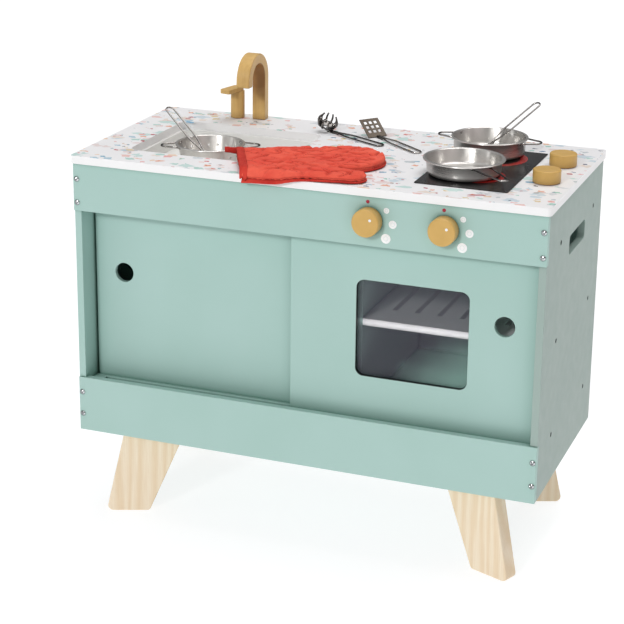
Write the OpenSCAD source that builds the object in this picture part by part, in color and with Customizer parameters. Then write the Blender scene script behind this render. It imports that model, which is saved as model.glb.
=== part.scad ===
/* [Cabinet] */
// Width of the cabinet across its front
cabinet_w = 600; // [580:5:640]
// Depth from the fascia face to the back edge of the side panels
cabinet_d = 287; // [280:1:300]
// Height of the cabinet without its legs and worktop
cabinet_h = 354; // [350:1:370]
// Thickness of the painted boards
board_t = 9; // [8:0.5:10]
// Height of the top fascia, which carries the two oven knobs
top_fascia_h = 60.5; // [58:0.5:66]
// Height of the bottom fascia, which hides the tops of the legs
bottom_fascia_h = 72; // [70:1:76]
// Distance from the left end to the oven side of the upright divider
divider_x = 366; // [360:1:372]

/* [Worktop] */
// Thickness of the worktop
worktop_t = 10; // [9:0.5:12]
// Overhang of the worktop at the front and at both ends
worktop_overhang = 3; // [2:0.5:5]
// Overhang of the worktop at the back
worktop_back_overhang = 2; // [1:0.5:3]
// Width of the sink cut-out
sink_w = 198; // [190:1:204]
// Depth of the sink cut-out, front to back
sink_d = 168; // [160:1:172]
// Depth of the basin floor below the top of the worktop
basin_depth = 28; // [26:1:34]
// Width of the hob plate
hob_w = 114; // [110:1:116]
// Depth of the hob plate, front to back
hob_d = 195; // [190:1:200]

/* [Doors] */
// Thickness of the sliding doors
door_t = 6; // [5:0.5:6.5]
// Width of each sliding door
door_w = 309; // [300:1:312]
// Diameter of the finger holes
finger_hole_d = 25; // [22:1:28]
// Width of the oven window
window_w = 140; // [130:1:150]
// Height of the oven window
window_h = 122; // [110:1:130]

/* [Legs] */
// Height of the cabinet's underside above the floor
leg_h = 114; // [105:1:120]
// Thickness of the leg boards
leg_t = 20; // [18:1:22]
// Angle by which each leg is turned towards its corner
leg_yaw = 22; // [15:1:28]

/* [Fittings] */
// Diameter of the four turning knobs
knob_d = 33.5; // [30:0.5:36]
// Height of the knobs
knob_h = 16; // [14:0.5:18]
// Width of the faucet spout
spout_w = 18; // [17:0.5:22]
// Height of the faucet spout above the worktop
spout_h = 93.5; // [90:0.5:98]

/* [Cookware] */
// Outer diameter of the colander's rim
colander_d = 88.5; // [84:0.5:90]
// Outer diameter of the pot's rim
pot_d = 96; // [92:0.5:98]
// Outer diameter of the pan's rim
pan_d = 99; // [94:0.5:101]
// Length of each utensil's wire handle
handle_l = 95; // [90:1:98]

/* [Hidden] */
$fn = 64;

// The sub-parts are drawn with x from the cabinet's left end, y from the fascia's front face
// and z from the cabinet's underside. place() moves them so that the origin is on the floor,
// in the middle of the outer size.
knob_gap = 0.5;
front_y = -(knob_gap + knob_h);
back_y = cabinet_d + worktop_back_overhang;
top_z = cabinet_h + worktop_t;
function to_frame(x, y, z) = [x - cabinet_w / 2, y - (front_y + back_y) / 2, z + leg_h];
module place() { translate(to_frame(0, 0, 0)) children(); }

// Carcass
panel_recess = 2;       // side panel edges stand this far behind the fascias
lip = 5.5;              // height that each fascia covers beyond its track
floor_top = bottom_fascia_h - lip;
ceiling_bottom = cabinet_h - top_fascia_h + lip;
inner_w = cabinet_w - 2 * board_t;
back_t = 6;
back_inset = 2;
back_face_y = cabinet_d - back_inset - back_t;
track_d = 36;
board_y = board_t + track_d;
shelf_top = floor_top + 120;

// Door tracks and doors
groove_w = door_t + 1;
groove_depth = 4.5;
front_groove_y = 20.5;
rear_groove_y = front_groove_y + 13;
groove_stop = 17;       // each groove ends this far short of the end its door never reaches
door_play = 0.5;
door_z = floor_top - groove_depth + door_play;
door_h = ceiling_bottom + groove_depth - door_play - door_z;
finger_hole_x = 41.5;   // from the inner face of the end panel
left_rest_gap = 2.5;    // the left door rests a little off its end panel
finger_hole_z = 208;
opening_mid_z = (bottom_fascia_h + cabinet_h - top_fascia_h) / 2;
pane_t = 1.5;
pane_margin = 8;

// Hand slots in the side panels
slot_w = 82;
slot_h = 24;
slot_y = 155;
slot_z = 286.5;

// Worktop fittings
sink_x = 149;
sink_y = 136;
basin_wall = 2;
basin_step = 4;         // the basin stands in from the edge of the cut-out by this much
hob_x = 484;
hob_y = 137.5;
hob_t = 1;
oven_knob_xs = [387, 479.5];
oven_knob_z = cabinet_h - top_fascia_h / 2 + 1;
hob_knob_x = 570.5;
hob_knob_ys = [105.5, 188];
screw_r = 3;
bore_r = screw_r + 0.05;
washer_r = 8;
washer_t = 2;
spout_x = 138;
spout_t = 13.5;
spout_front_y = 210;
spout_r = 34;
spout_drop = 6;
lever_pos = [107, 267];
lever_turn = -13;       // the paddle points a little to the left of straight ahead
lever_post_r = 9.3;
lever_post_h = 37;
lever_w = 15.5;
lever_t = 5.5;
lever_reach = 30;

// Legs
leg_pos = [113, 42];
leg_foot = [-89, -33];  // outer and inner end of the foot along the leg's own board
leg_top = [-50, 41];
leg_corner_r = [7, 5];
leg_screw_xs = [2, 28];

// Cookware
colander_pos = [134, 116];
colander_turn = 23;
colander_h = 30;
colander_z = top_z - basin_depth + 0.1;
pot_pos = [472, 208];
pot_h = 22.5;
pan_pos = [470.5, 101];
pan_h = 20;
hob_z = top_z + hob_t + 0.1;
wall_t = 1;
wire_r = 1.1;
wire_sides = 10;
pan_handle_turn = -47;

// Utensils: loop end of the handle, direction towards the head, and slope
loop_w = 12;
neck_w = 2.6;
head_t = 1;
shank_l = 14;
lean = 31;
skimmer_rim = [96, 136, top_z + 5.3];
skimmer_above = 52;     // length of the handle outside the rim it leans on
skimmer_turn = -27.5;
spoon_rim = [487, 249.5, top_z + 27.1];
spoon_above = 50.5;
spoon_turn = -128.5;
lying_z = top_z + 1.4;
lying_pitch = -0.6;
turner_end = [391, 174.5];
turner_turn = 141.5;
server_end = [337, 190.5];
server_turn = 152.5;

// Oven mitt
mitt_pos = [205, 39.5];
mitt_turn = 26;
mitt_t = 13;
mitt_lift = 0.3;

mint = [0.66, 0.79, 0.75];
ochre = [0.81, 0.65, 0.34];
steel = [0.75, 0.75, 0.76];
pine = [0.91, 0.83, 0.70];
coral = [0.88, 0.29, 0.25];

// ---- shared shapes ----

// A rectangle with its middle at the origin and round corners
module round_rect(w, h, r) {
    square([w - 2 * r, h], center = true);
    square([w, h - 2 * r], center = true);
    for (sx = [-1, 1], sy = [-1, 1]) translate([sx * (w / 2 - r), sy * (h / 2 - r)]) circle(r);
}

// A plate that stands in the x-z plane, with its front face at y = 0
module upright(t) { translate([0, t, 0]) rotate([90, 0, 0]) linear_extrude(t) children(); }

// Mirrors its children from one end of the cabinet to the other
module right_end() { translate([cabinet_w, 0, 0]) mirror([1, 0, 0]) children(); }
module rear_end() { translate([0, cabinet_d, 0]) mirror([0, 1, 0]) children(); }

// Points of an arc about c, from angle a0 to angle a1
function arc(c, r, a0, a1, n) = [for (i = [0 : n]) let (a = a0 + (a1 - a0) * i / n) c + r * [cos(a), sin(a)]];

// A bolt along +z from its seat, with a domed head below the seat
module bolt(head_r, head_h, shank_r, length) {
    cylinder(r = shank_r, h = length, $fn = 24);
    intersection() {
        translate([0, 0, -head_h]) cylinder(r = head_r, h = head_h, $fn = 32);
        translate([0, 0, head_r - head_h]) sphere(head_r * 1.15, $fn = 48);
    }
}

// Direction at point i of a flat path, from its neighbours
function heading(path, i) =
    let (a = path[max(i - 1, 0)], b = path[min(i + 1, len(path) - 1)]) (b - a) / norm(b - a);

// A round wire of radius r along a flat path in the x-y plane
module wire(path, r) {
    n = len(path);
    rings = [for (i = [0 : n - 1], k = [0 : wire_sides - 1])
        let (t = heading(path, i), a = 360 * k / wire_sides)
        [path[i].x - t.y * r * cos(a), path[i].y + t.x * r * cos(a), r * sin(a)]];
    sides = [for (i = [0 : n - 2], k = [0 : wire_sides - 1])
        let (k2 = (k + 1) % wire_sides, a = i * wire_sides, b = a + wire_sides)
        [a + k, a + k2, b + k2, b + k]];
    start = [for (k = [wire_sides - 1 : -1 : 0]) k];
    end = [for (k = [0 : wire_sides - 1]) (n - 1) * wire_sides + k];
    polyhedron(points = rings, faces = concat([start], sides, [end]), convexity = 6);
}

// ---- carcass ----

module worktop() {
    w = cabinet_w + 2 * worktop_overhang;
    d = cabinet_d + worktop_overhang + worktop_back_overhang;
    mid_y = (worktop_back_overhang - worktop_overhang + cabinet_d) / 2;
    color("white") place() translate([0, 0, cabinet_h]) difference() {
        linear_extrude(worktop_t) difference() {
            translate([cabinet_w / 2, mid_y]) round_rect(w, d, 6);
            translate([sink_x, sink_y]) round_rect(sink_w, sink_d, 14);
        }
        for (y = hob_knob_ys) translate([hob_knob_x, y, -1]) cylinder(r = bore_r, h = worktop_t + 2);
        translate([lever_pos.x, lever_pos.y, -1]) cylinder(r = bore_r, h = worktop_t + 2);
    }
}

module sink_basin() {
    tub_w = sink_w - 2 * basin_step;
    tub_d = sink_d - 2 * basin_step;
    flange = 12;
    tub_h = basin_depth - worktop_t + basin_wall;
    color([0.95, 0.95, 0.94]) place() translate([sink_x, sink_y, cabinet_h]) difference() {
        union() {
            translate([0, 0, -basin_wall]) linear_extrude(basin_wall) {
                round_rect(tub_w + 2 * flange, tub_d + 2 * flange, 14);
            }
            translate([0, 0, -tub_h]) linear_extrude(tub_h) {
                round_rect(tub_w + 2 * basin_wall, tub_d + 2 * basin_wall, 14);
            }
        }
        translate([0, 0, -tub_h + basin_wall]) linear_extrude(tub_h) round_rect(tub_w, tub_d, 12);
    }
}

module hob_plate() {
    color([0.08, 0.08, 0.09]) place() translate([hob_x, hob_y, top_z]) {
        linear_extrude(hob_t) round_rect(hob_w, hob_d, 3);
    }
}

// One end panel: its front edge is cut back where the two fascias lie on it
module side_panel() {
    difference() {
        translate([0, panel_recess, 0]) cube([board_t, cabinet_d - panel_recess, cabinet_h]);
        translate([-1, 0, -1]) cube([board_t + 2, board_t, bottom_fascia_h + 1]);
        translate([-1, 0, cabinet_h - top_fascia_h]) cube([board_t + 2, board_t, top_fascia_h + 1]);
        translate([-1, slot_y, slot_z]) rotate([90, 0, 90]) {
            linear_extrude(board_t + 2) round_rect(slot_w, slot_h, 6);
        }
    }
}
module side_panel_left() { color(mint) place() side_panel(); }
module side_panel_right() { color(mint) place() right_end() side_panel(); }

module back_panel() {
    color(mint) place() translate([board_t, back_face_y, 0]) cube([inner_w, back_t, cabinet_h]);
}

module inner_board(z) { translate([board_t, board_y, z]) cube([inner_w, back_face_y - board_y, board_t]); }
module floor_board() { color(mint) place() inner_board(floor_top - board_t); }
module ceiling_board() { color(mint) place() inner_board(ceiling_bottom); }

// A grooved strip, with its groove side up and its top face at z = 0
module track_strip() {
    difference() {
        translate([board_t, board_t, -board_t]) cube([inner_w, track_d, board_t]);
        translate([board_t + groove_stop, front_groove_y, -groove_depth]) {
            cube([inner_w, groove_w, groove_depth + 1]);
        }
        translate([board_t - groove_stop, rear_groove_y, -groove_depth]) {
            cube([inner_w, groove_w, groove_depth + 1]);
        }
    }
}
module lower_track() { color(mint) place() translate([0, 0, floor_top]) track_strip(); }
module upper_track() {
    color(mint) place() translate([0, 0, ceiling_bottom]) mirror([0, 0, 1]) track_strip();
}

module top_fascia() {
    color(mint) place() difference() {
        translate([0, 0, cabinet_h - top_fascia_h]) cube([cabinet_w, board_t, top_fascia_h]);
        for (x = oven_knob_xs) translate([x, -1, oven_knob_z]) rotate([-90, 0, 0]) {
            cylinder(r = bore_r, h = board_t + 2);
        }
    }
}
module bottom_fascia() { color(mint) place() cube([cabinet_w, board_t, bottom_fascia_h]); }

module oven_divider() {
    color(mint) place() translate([divider_x - board_t, board_y, floor_top]) {
        cube([board_t, back_face_y - board_y, ceiling_bottom - floor_top]);
    }
}

module oven_shelf() {
    shelf_w = cabinet_w - board_t - divider_x;
    bar_step = 28.5;
    slot_front = 43;
    slot_l = 148;
    color("white") place() translate([divider_x, board_y, shelf_top - board_t]) difference() {
        cube([shelf_w, back_face_y - board_y, board_t]);
        for (k = [-3 : 3]) translate([shelf_w / 2 + k * bar_step - 3, slot_front, -1]) {
            cube([6, slot_l, board_t + 2]);
        }
    }
}

// Two battens that hold the worktop to the end panels
module worktop_cleats() {
    cleat = 12;
    color(mint) place() for (x = [board_t, cabinet_w - board_t - cleat]) {
        translate([x, 60, cabinet_h - cleat]) cube([cleat, 200, cleat]);
    }
}

// ---- legs ----

// The corner at p of an outline, between its neighbours a and b, rounded with radius r
function round_corner(a, p, b, r) =
    let (u = (a - p) / norm(a - p), v = (b - p) / norm(b - p),
         half = acos(u * v) / 2, mid = (u + v) / norm(u + v), c = p + mid * r / sin(half),
         s = p + u * r / tan(half) - c, e = p + v * r / tan(half) - c,
         a0 = atan2(s.y, s.x), turn = (atan2(e.y, e.x) - a0 + 540) % 360 - 180)
    arc(c, r, a0, a0 + turn, 8);

module leg() {
    top = floor_top - board_t;
    foot_out = [leg_foot[0], -leg_h];
    foot_in = [leg_foot[1], -leg_h];
    top_out = [leg_top[0], top];
    top_in = [leg_top[1], top];
    translate([leg_pos.x, leg_pos.y, 0]) rotate([0, 0, leg_yaw]) upright(leg_t) {
        polygon(concat(
            [top_out],
            round_corner(top_out, foot_out, foot_in, leg_corner_r[0]),
            round_corner(foot_out, foot_in, top_in, leg_corner_r[1]),
            [top_in]));
    }
}
module leg_front_left() { color(pine) place() leg(); }
module leg_front_right() { color(pine) place() right_end() leg(); }
module leg_rear_left() { color(pine) place() rear_end() leg(); }
module leg_rear_right() { color(pine) place() right_end() rear_end() leg(); }

module leg_screw_pair() {
    translate([leg_pos.x, leg_pos.y, floor_top]) rotate([0, 0, leg_yaw]) {
        for (x = leg_screw_xs) translate([x, leg_t / 2, 0]) mirror([0, 0, 1]) bolt(4, 2, 2, 28);
    }
}
module leg_screws() {
    color(steel) place() {
        leg_screw_pair();
        right_end() leg_screw_pair();
        rear_end() leg_screw_pair();
        right_end() rear_end() leg_screw_pair();
    }
}

// ---- fasteners of the carcass ----

module fascia_bolt_column() {
    zs = [22.5, 52, cabinet_h - 50, cabinet_h - 20];
    for (z = zs) translate([board_t / 2, 0, z]) rotate([-90, 0, 0]) bolt(3.5, 1.8, 1.5, 30);
}
module fascia_bolts() {
    color(steel) place() {
        fascia_bolt_column();
        right_end() fascia_bolt_column();
    }
}

// Flush screws through an end panel into the edge of each inner board
module side_screw_group(zs) {
    for (z = zs, y = [69, 239]) translate([0, y, z]) rotate([0, 90, 0]) {
        cylinder(r = 3, h = 2, $fn = 32);
        cylinder(r = 1.5, h = 35, $fn = 24);
    }
}
module side_screws() {
    floor_mid = floor_top - board_t / 2;
    ceiling_mid = ceiling_bottom + board_t / 2;
    color(steel) place() {
        side_screw_group([floor_mid, ceiling_mid]);
        right_end() side_screw_group([floor_mid, shelf_top - board_t / 2, ceiling_mid]);
    }
}

// ---- faucet ----

module faucet_spout() {
    arch_z = spout_h - spout_r;
    color(ochre) place() translate([spout_x - spout_w / 2, spout_front_y, top_z]) rotate([90, 0, 90]) {
        linear_extrude(spout_w) {
            difference() {
                translate([spout_r, arch_z]) circle(spout_r, $fn = 96);
                translate([spout_r, arch_z]) circle(spout_r - spout_t, $fn = 96);
                translate([-1, -1]) square([2 * spout_r + 2, arch_z + 1]);
            }
            translate([0, arch_z - spout_drop]) square([spout_t, spout_drop]);
            translate([2 * spout_r - spout_t, 0]) square([spout_t, arch_z]);
        }
    }
}
module spout_screws() {
    post_y = spout_front_y + 2 * spout_r - spout_t / 2;
    color(steel) place() for (dx = [-5, 5]) {
        translate([spout_x + dx, post_y, cabinet_h]) bolt(3.5, 1.8, 1.5, 28);
    }
}

module at_lever() { place() translate([lever_pos.x, lever_pos.y, top_z]) children(); }
module faucet_lever() {
    color(ochre) at_lever() rotate([0, 0, lever_turn]) translate([0, 0, lever_post_h]) {
        linear_extrude(lever_t) {
            circle(lever_w / 2);
            translate([0, -lever_reach / 2]) round_rect(lever_w, lever_reach, 3);
        }
    }
}
module faucet_lever_post() {
    color(ochre) at_lever() translate([0, 0, 0.3]) cylinder(r = lever_post_r, h = lever_post_h - 0.3);
}

// A screw that comes up through the board into a turning piece, with its washer below the board
module turning_screw(board, reach) {
    translate([0, 0, -board]) cylinder(r = screw_r, h = board + reach);
    translate([0, 0, -board - knob_gap - washer_t]) cylinder(r = washer_r, h = washer_t);
    translate([0, 0, -board - knob_gap]) cylinder(r = screw_r, h = knob_gap);
}
module faucet_lever_screw() { color(steel) at_lever() turning_screw(worktop_t, 20); }

// ---- knobs ----

// A turned wooden knob on the z axis, with a softened outer edge
module knob() {
    edge = 2;
    translate([0, 0, knob_gap]) rotate_extrude() {
        polygon(concat(
            [[0, 0], [knob_d / 2, 0]],
            arc([knob_d / 2 - edge, knob_h - edge], edge, 0, 90, 6),
            [[0, knob_h]]));
    }
}
module on_fascia(i) {
    place() translate([oven_knob_xs[i], 0, oven_knob_z]) rotate([90, 0, 0]) children();
}
module on_hob(i) { place() translate([hob_knob_x, hob_knob_ys[i], top_z]) children(); }
module oven_knob_left() { color(ochre) on_fascia(0) knob(); }
module oven_knob_right() { color(ochre) on_fascia(1) knob(); }
module oven_knob_left_screw() { color(steel) on_fascia(0) turning_screw(board_t, 11); }
module oven_knob_right_screw() { color(steel) on_fascia(1) turning_screw(board_t, 11); }
module hob_knob_front() { color(ochre) on_hob(0) knob(); }
module hob_knob_rear() { color(ochre) on_hob(1) knob(); }
module hob_knob_front_screw() { color(steel) on_hob(0) turning_screw(worktop_t, 11); }
module hob_knob_rear_screw() { color(steel) on_hob(1) turning_screw(worktop_t, 11); }

// ---- doors ----

module left_door() {
    color(mint) place() translate([board_t, rear_groove_y + door_play, 0]) upright(door_t) difference() {
        translate([left_rest_gap, door_z]) square([door_w, door_h]);
        translate([finger_hole_x, finger_hole_z]) circle(finger_hole_d / 2);
    }
}
right_door_x = cabinet_w - board_t - door_play - door_w;
window_x = right_door_x + door_w / 2;
module right_door() {
    color(mint) place() translate([0, front_groove_y + door_play, 0]) upright(door_t) difference() {
        translate([right_door_x, door_z]) square([door_w, door_h]);
        translate([cabinet_w - board_t - finger_hole_x, finger_hole_z]) circle(finger_hole_d / 2);
        translate([window_x, opening_mid_z]) round_rect(window_w, window_h, 10);
    }
}
module oven_window() {
    color([0.5, 0.5, 0.55, 0.4]) place() {
        translate([window_x, front_groove_y + door_play + door_t, opening_mid_z]) upright(pane_t) {
            round_rect(window_w + 2 * pane_margin, window_h + 2 * pane_margin, 14);
        }
    }
}

// ---- cookware ----

// A pressed steel dish: flat base, sloping wall and a flat rolled rim
module dish(base_r, top_r, rim_r, h) {
    rotate_extrude($fn = 96) polygon([
        [0, 0], [base_r, 0], [top_r, h - wall_t], [rim_r, h - wall_t], [rim_r, h],
        [top_r - wall_t / 2, h], [base_r - wall_t, wall_t], [0, wall_t]]);
}

// A wire grip in the x-y plane: its two feet stand root_w apart at x = 0, its end is end_w wide
function grip_path(reach, root_w, end_w) =
    let (r = end_w / 2, c = [reach - r, 0])
    concat([[0, -root_w / 2]], arc(c, r, -90, 90, 12), [[0, root_w / 2]]);

module at_colander() { place() translate([colander_pos.x, colander_pos.y, colander_z]) children(); }
module colander() {
    color(steel) at_colander() dish(35, colander_d / 2 - 3, colander_d / 2, colander_h);
}
module colander_handles() {
    z = colander_h - wall_t - wire_r - 1;
    color(steel) at_colander() for (turn = [0, 180]) rotate([0, 0, colander_turn + turn]) {
        translate([colander_d / 2 - 6, 0, z]) wire(grip_path(24, 30, 16), wire_r);
    }
}

module at_pot() { place() translate([pot_pos.x, pot_pos.y, hob_z]) children(); }
module pot() { color(steel) at_pot() dish(43, pot_d / 2 - 3, pot_d / 2, pot_h); }
module pot_handles() {
    z = pot_h - wall_t - wire_r - 1;
    color(steel) at_pot() for (turn = [0, 180]) rotate([0, 0, turn]) {
        translate([pot_d / 2 - 6, 0, z]) wire(grip_path(24, 32, 18), wire_r);
    }
}

module at_pan() { place() translate([pan_pos.x, pan_pos.y, hob_z]) children(); }
module pan() { color(steel) at_pan() dish(41.5, pan_d / 2 - 4, pan_d / 2, pan_h); }
module pan_handle() {
    color(steel) at_pan() rotate([0, 0, pan_handle_turn]) {
        translate([pan_d / 2 - 6, 0, pan_h - wall_t - wire_r - 0.5]) wire(grip_path(60, 24, 12), wire_r);
    }
}

// ---- utensils: the handle runs along +x from its loop end to the neck at x = handle_l ----

function handle_path() =
    let (w = loop_w / 2, n = neck_w / 2, taper = handle_l - shank_l - 20)
    concat([[handle_l - 1, n], [handle_l - shank_l, n], [taper, w]],
        arc([w, 0], w, 90, 270, 12),
        [[taper, -w], [handle_l - shank_l, -n], [handle_l - 1, -n]]);
module utensil(end, turn, pitch) { place() translate(end) rotate([0, pitch, turn]) children(); }

// Loop end of a handle that leans over a rim at the given point
function lean_end(rim, turn, above) =
    rim - above * [cos(lean) * cos(turn), cos(lean) * sin(turn), -sin(lean)];

module shank() {
    translate([handle_l - shank_l, -neck_w, -wire_r - head_t + 0.4]) cube([shank_l, 2 * neck_w, head_t]);
}
// Moves its children to the neck and bends them up by the given angle
module at_neck(bend) {
    translate([handle_l, 0, -wire_r + 0.4]) rotate([0, -bend, 0]) translate([-0.5, 0, -head_t]) children();
}

module at_skimmer() {
    utensil(lean_end(skimmer_rim, skimmer_turn, skimmer_above), skimmer_turn, lean) children();
}
module skimmer_handle() { color(steel) at_skimmer() wire(handle_path(), wire_r); }
module skimmer_head() {
    color(steel) at_skimmer() {
        shank();
        at_neck(11) translate([12, 0, 0]) cylinder(r = 12.5, h = head_t);
    }
}

module at_spoon() {
    utensil(lean_end(spoon_rim, spoon_turn, spoon_above), spoon_turn, lean) children();
}
module spoon_handle() { color(steel) at_spoon() wire(handle_path(), wire_r); }
module spoon_head() {
    color(steel) at_spoon() {
        shank();
        at_neck(lean) translate([11.5, 0, 0]) cylinder(r = 12, h = head_t);
    }
}

module at_server() { utensil([server_end.x, server_end.y, lying_z], server_turn, lying_pitch) children(); }
module server_handle() { color(steel) at_server() wire(handle_path(), wire_r); }
module server_head() {
    bowl_r = 11.5;
    color(steel) at_server() {
        shank();
        at_neck(22) translate([bowl_r, 0, 0]) {
            difference() {
                cylinder(r = bowl_r, h = head_t);
                translate([0, 0, -1]) cylinder(r = 3.5, h = head_t + 2);
            }
            for (k = [-4 : 4]) rotate([0, 0, k * 35]) translate([bowl_r - 1.2, 0, 0]) {
                rotate([0, 12, 0]) cylinder(r = 1, h = 14, $fn = 16);
            }
        }
    }
}

module at_turner() { utensil([turner_end.x, turner_end.y, lying_z], turner_turn, lying_pitch) children(); }
module turner_handle() { color(steel) at_turner() wire(handle_path(), wire_r); }
module turner_blade() {
    blade = [30, 28];
    hole = 4.6;
    color(steel) at_turner() {
        shank();
        at_neck(38) translate([0, -blade.y / 2, 0]) difference() {
            cube([blade.x, blade.y, head_t]);
            for (i = [0 : 2], j = [-1 : 1]) {
                translate([7 + i * 7.2, blade.y / 2 + j * 7.4 - hole / 2, -1]) cube([hole, hole, head_t + 2]);
            }
        }
    }
}

// ---- oven mitt: a plain pad with the outline of a mitten, its cuff at x = 0 ----

module at_mitt() {
    place() translate([mitt_pos.x, mitt_pos.y, top_z + mitt_lift]) rotate(mitt_turn) children();
}
module oven_mitt() {
    color(coral) at_mitt() linear_extrude(mitt_t) {
        hull() {
            translate([0, -50]) square([4, 99]);
            translate([130, -3]) circle(51, $fn = 48);
        }
        hull() {
            translate([0, -50]) square([4, 10]);
            translate([54, -48]) circle(31, $fn = 32);
            translate([131, -86]) circle(17, $fn = 32);
        }
    }
}
module mitt_loop() {
    color(coral) at_mitt() translate([1, 43, mitt_t / 2]) rotate([0, 0, 180]) {
        wire(grip_path(15, 9, 8), 1.4);
    }
}

worktop();
sink_basin();
hob_plate();
side_panel_left();
side_panel_right();
back_panel();
floor_board();
ceiling_board();
lower_track();
upper_track();
top_fascia();
bottom_fascia();
oven_divider();
oven_shelf();
worktop_cleats();
leg_front_left();
leg_front_right();
leg_rear_left();
leg_rear_right();
leg_screws();
fascia_bolts();
side_screws();
faucet_spout();
spout_screws();
faucet_lever();
faucet_lever_post();
faucet_lever_screw();
left_door();
right_door();
oven_window();
oven_knob_left();
oven_knob_left_screw();
oven_knob_right();
oven_knob_right_screw();
hob_knob_front();
hob_knob_front_screw();
hob_knob_rear();
hob_knob_rear_screw();
colander();
colander_handles();
pot();
pot_handles();
pan();
pan_handle();
skimmer_head();
skimmer_handle();
spoon_head();
spoon_handle();
server_head();
server_handle();
turner_blade();
turner_handle();
oven_mitt();
mitt_loop();
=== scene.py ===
"""Looks of the toy kitchen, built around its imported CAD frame."""

import math

import bmesh
import bpy
import numpy as np
from mathutils import Matrix, Vector, noise
from mathutils.bvhtree import BVHTree


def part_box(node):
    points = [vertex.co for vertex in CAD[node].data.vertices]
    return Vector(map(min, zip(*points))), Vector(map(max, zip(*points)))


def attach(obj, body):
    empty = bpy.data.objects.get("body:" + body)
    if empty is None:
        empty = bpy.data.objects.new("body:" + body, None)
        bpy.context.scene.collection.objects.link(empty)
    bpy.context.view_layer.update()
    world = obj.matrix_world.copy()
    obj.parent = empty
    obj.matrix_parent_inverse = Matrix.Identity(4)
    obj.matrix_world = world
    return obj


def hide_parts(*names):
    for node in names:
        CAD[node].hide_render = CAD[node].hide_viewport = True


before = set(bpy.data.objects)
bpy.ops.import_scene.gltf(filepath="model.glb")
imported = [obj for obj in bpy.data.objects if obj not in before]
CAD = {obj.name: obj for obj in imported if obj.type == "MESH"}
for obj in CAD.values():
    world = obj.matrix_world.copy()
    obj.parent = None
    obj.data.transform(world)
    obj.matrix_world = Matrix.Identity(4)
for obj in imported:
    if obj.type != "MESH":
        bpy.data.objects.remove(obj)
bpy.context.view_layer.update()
SCENE = bpy.context.scene
MM = 0.001

# Cabinet coordinates, in millimetres: x from the cabinet's left end, y from the fascia's front face
# and z from the cabinet's underside.
ORIGIN = Vector(
    (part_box("top_fascia")[0].x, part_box("top_fascia")[0].y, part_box("bottom_fascia")[0].z)
)


def at(x, y, z):
    """A point given in cabinet coordinates, in the row frame."""
    return ORIGIN + Vector((x, y, z)) * MM


def middle(node):
    """Middle of a CAD node's box in x and y, at the box's lowest height."""
    low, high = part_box(node)
    return Vector(((low.x + high.x) / 2, (low.y + high.y) / 2, low.z))


TOP_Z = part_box("worktop")[1].z
WORKTOP_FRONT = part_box("worktop")[0].y


# ---- camera and lights ----

# The camera fitted to the cabinet's corners in the photo. Its lens is for a sensor 36 mm wide.
CAMERA_PLACE = at(1046.9, -1933.4, 928.1)
CAMERA_AZIMUTH = math.radians(20.70)
CAMERA_ELEVATION = math.radians(17.41)
CAMERA_ROLL = math.radians(-0.64)
CAMERA_LENS = 105.4
CAMERA_SHIFT = -0.0994


def make_camera():
    data = bpy.data.cameras.new("camera")
    data.lens = CAMERA_LENS
    data.sensor_width = 36
    data.shift_y = CAMERA_SHIFT
    data.clip_end = 50
    camera = bpy.data.objects.new("camera", data)
    SCENE.collection.objects.link(camera)
    a, e = CAMERA_AZIMUTH, CAMERA_ELEVATION
    back = Vector((math.sin(a) * math.cos(e), -math.cos(a) * math.cos(e), math.sin(e)))
    right = Vector((math.cos(a), math.sin(a), 0))
    turn = Matrix.Rotation(CAMERA_ROLL, 3, -back)
    right = turn @ right
    up = back.cross(right)
    camera.matrix_world = (
        Matrix.Translation(CAMERA_PLACE) @ Matrix((right, up, back)).transposed().to_4x4()
    )
    SCENE.camera = camera


def add_light(name, kind, power, towards, colour=(1, 1, 1)):
    """A light that shines from the side that towards points to."""
    data = bpy.data.lights.new(name, kind)
    data.energy = power
    data.color = colour
    light = bpy.data.objects.new(name, data)
    SCENE.collection.objects.link(light)
    light.rotation_mode = "QUATERNION"
    light.rotation_quaternion = Vector(towards).to_track_quat("Z", "Y")
    return light


def area_light(name, place, target, size, power):
    light = add_light(name, "AREA", power, Vector(place) - Vector(target))
    light.location = place
    light.data.shape = "RECTANGLE"
    light.data.size, light.data.size_y = size
    return light


def soft_sun(name, towards, strength, spread, colour=(1, 1, 1)):
    """A large, far softbox: towards is the direction from the object to the light."""
    light = add_light(name, "SUN", strength, towards, colour)
    light.data.angle = math.radians(spread)


RIGHT_WALL = (0.90, 0.80, 0.80, 1)
# Height of the view direction, from 0 at the horizon to 1 overhead, and the brightness there
WALL_LEVELS = ((0.02, 0.34), (0.35, 0.52), (0.8, 0.95))
FLAGS = 7


def studio_walls(tree, background):
    """Bright ceiling, dim walls with dark flags that give steel contrast, and a warm right side."""
    n = Nodes(tree)
    x, y, z = n.parts(n.node("ShaderNodeTexCoord").outputs["Generated"])
    stops = [(place, (level * 0.985, level * 0.99, level, 1)) for place, level in WALL_LEVELS]
    height = n.ramp(z, stops)
    bands = n.math("SINE", n.math("MULTIPLY", n.math("ARCTAN2", y, x), FLAGS))
    flags = n.span(bands, -1, 0.3, 0.28, 1.22)
    warmth = n.ramp(x, ((0, (1, 1, 1, 1)), (0.7, RIGHT_WALL)))
    tinted = n.vector("MULTIPLY", height, warmth)
    n.put(background.inputs["Color"], n.scale(tinted, flags))


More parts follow.
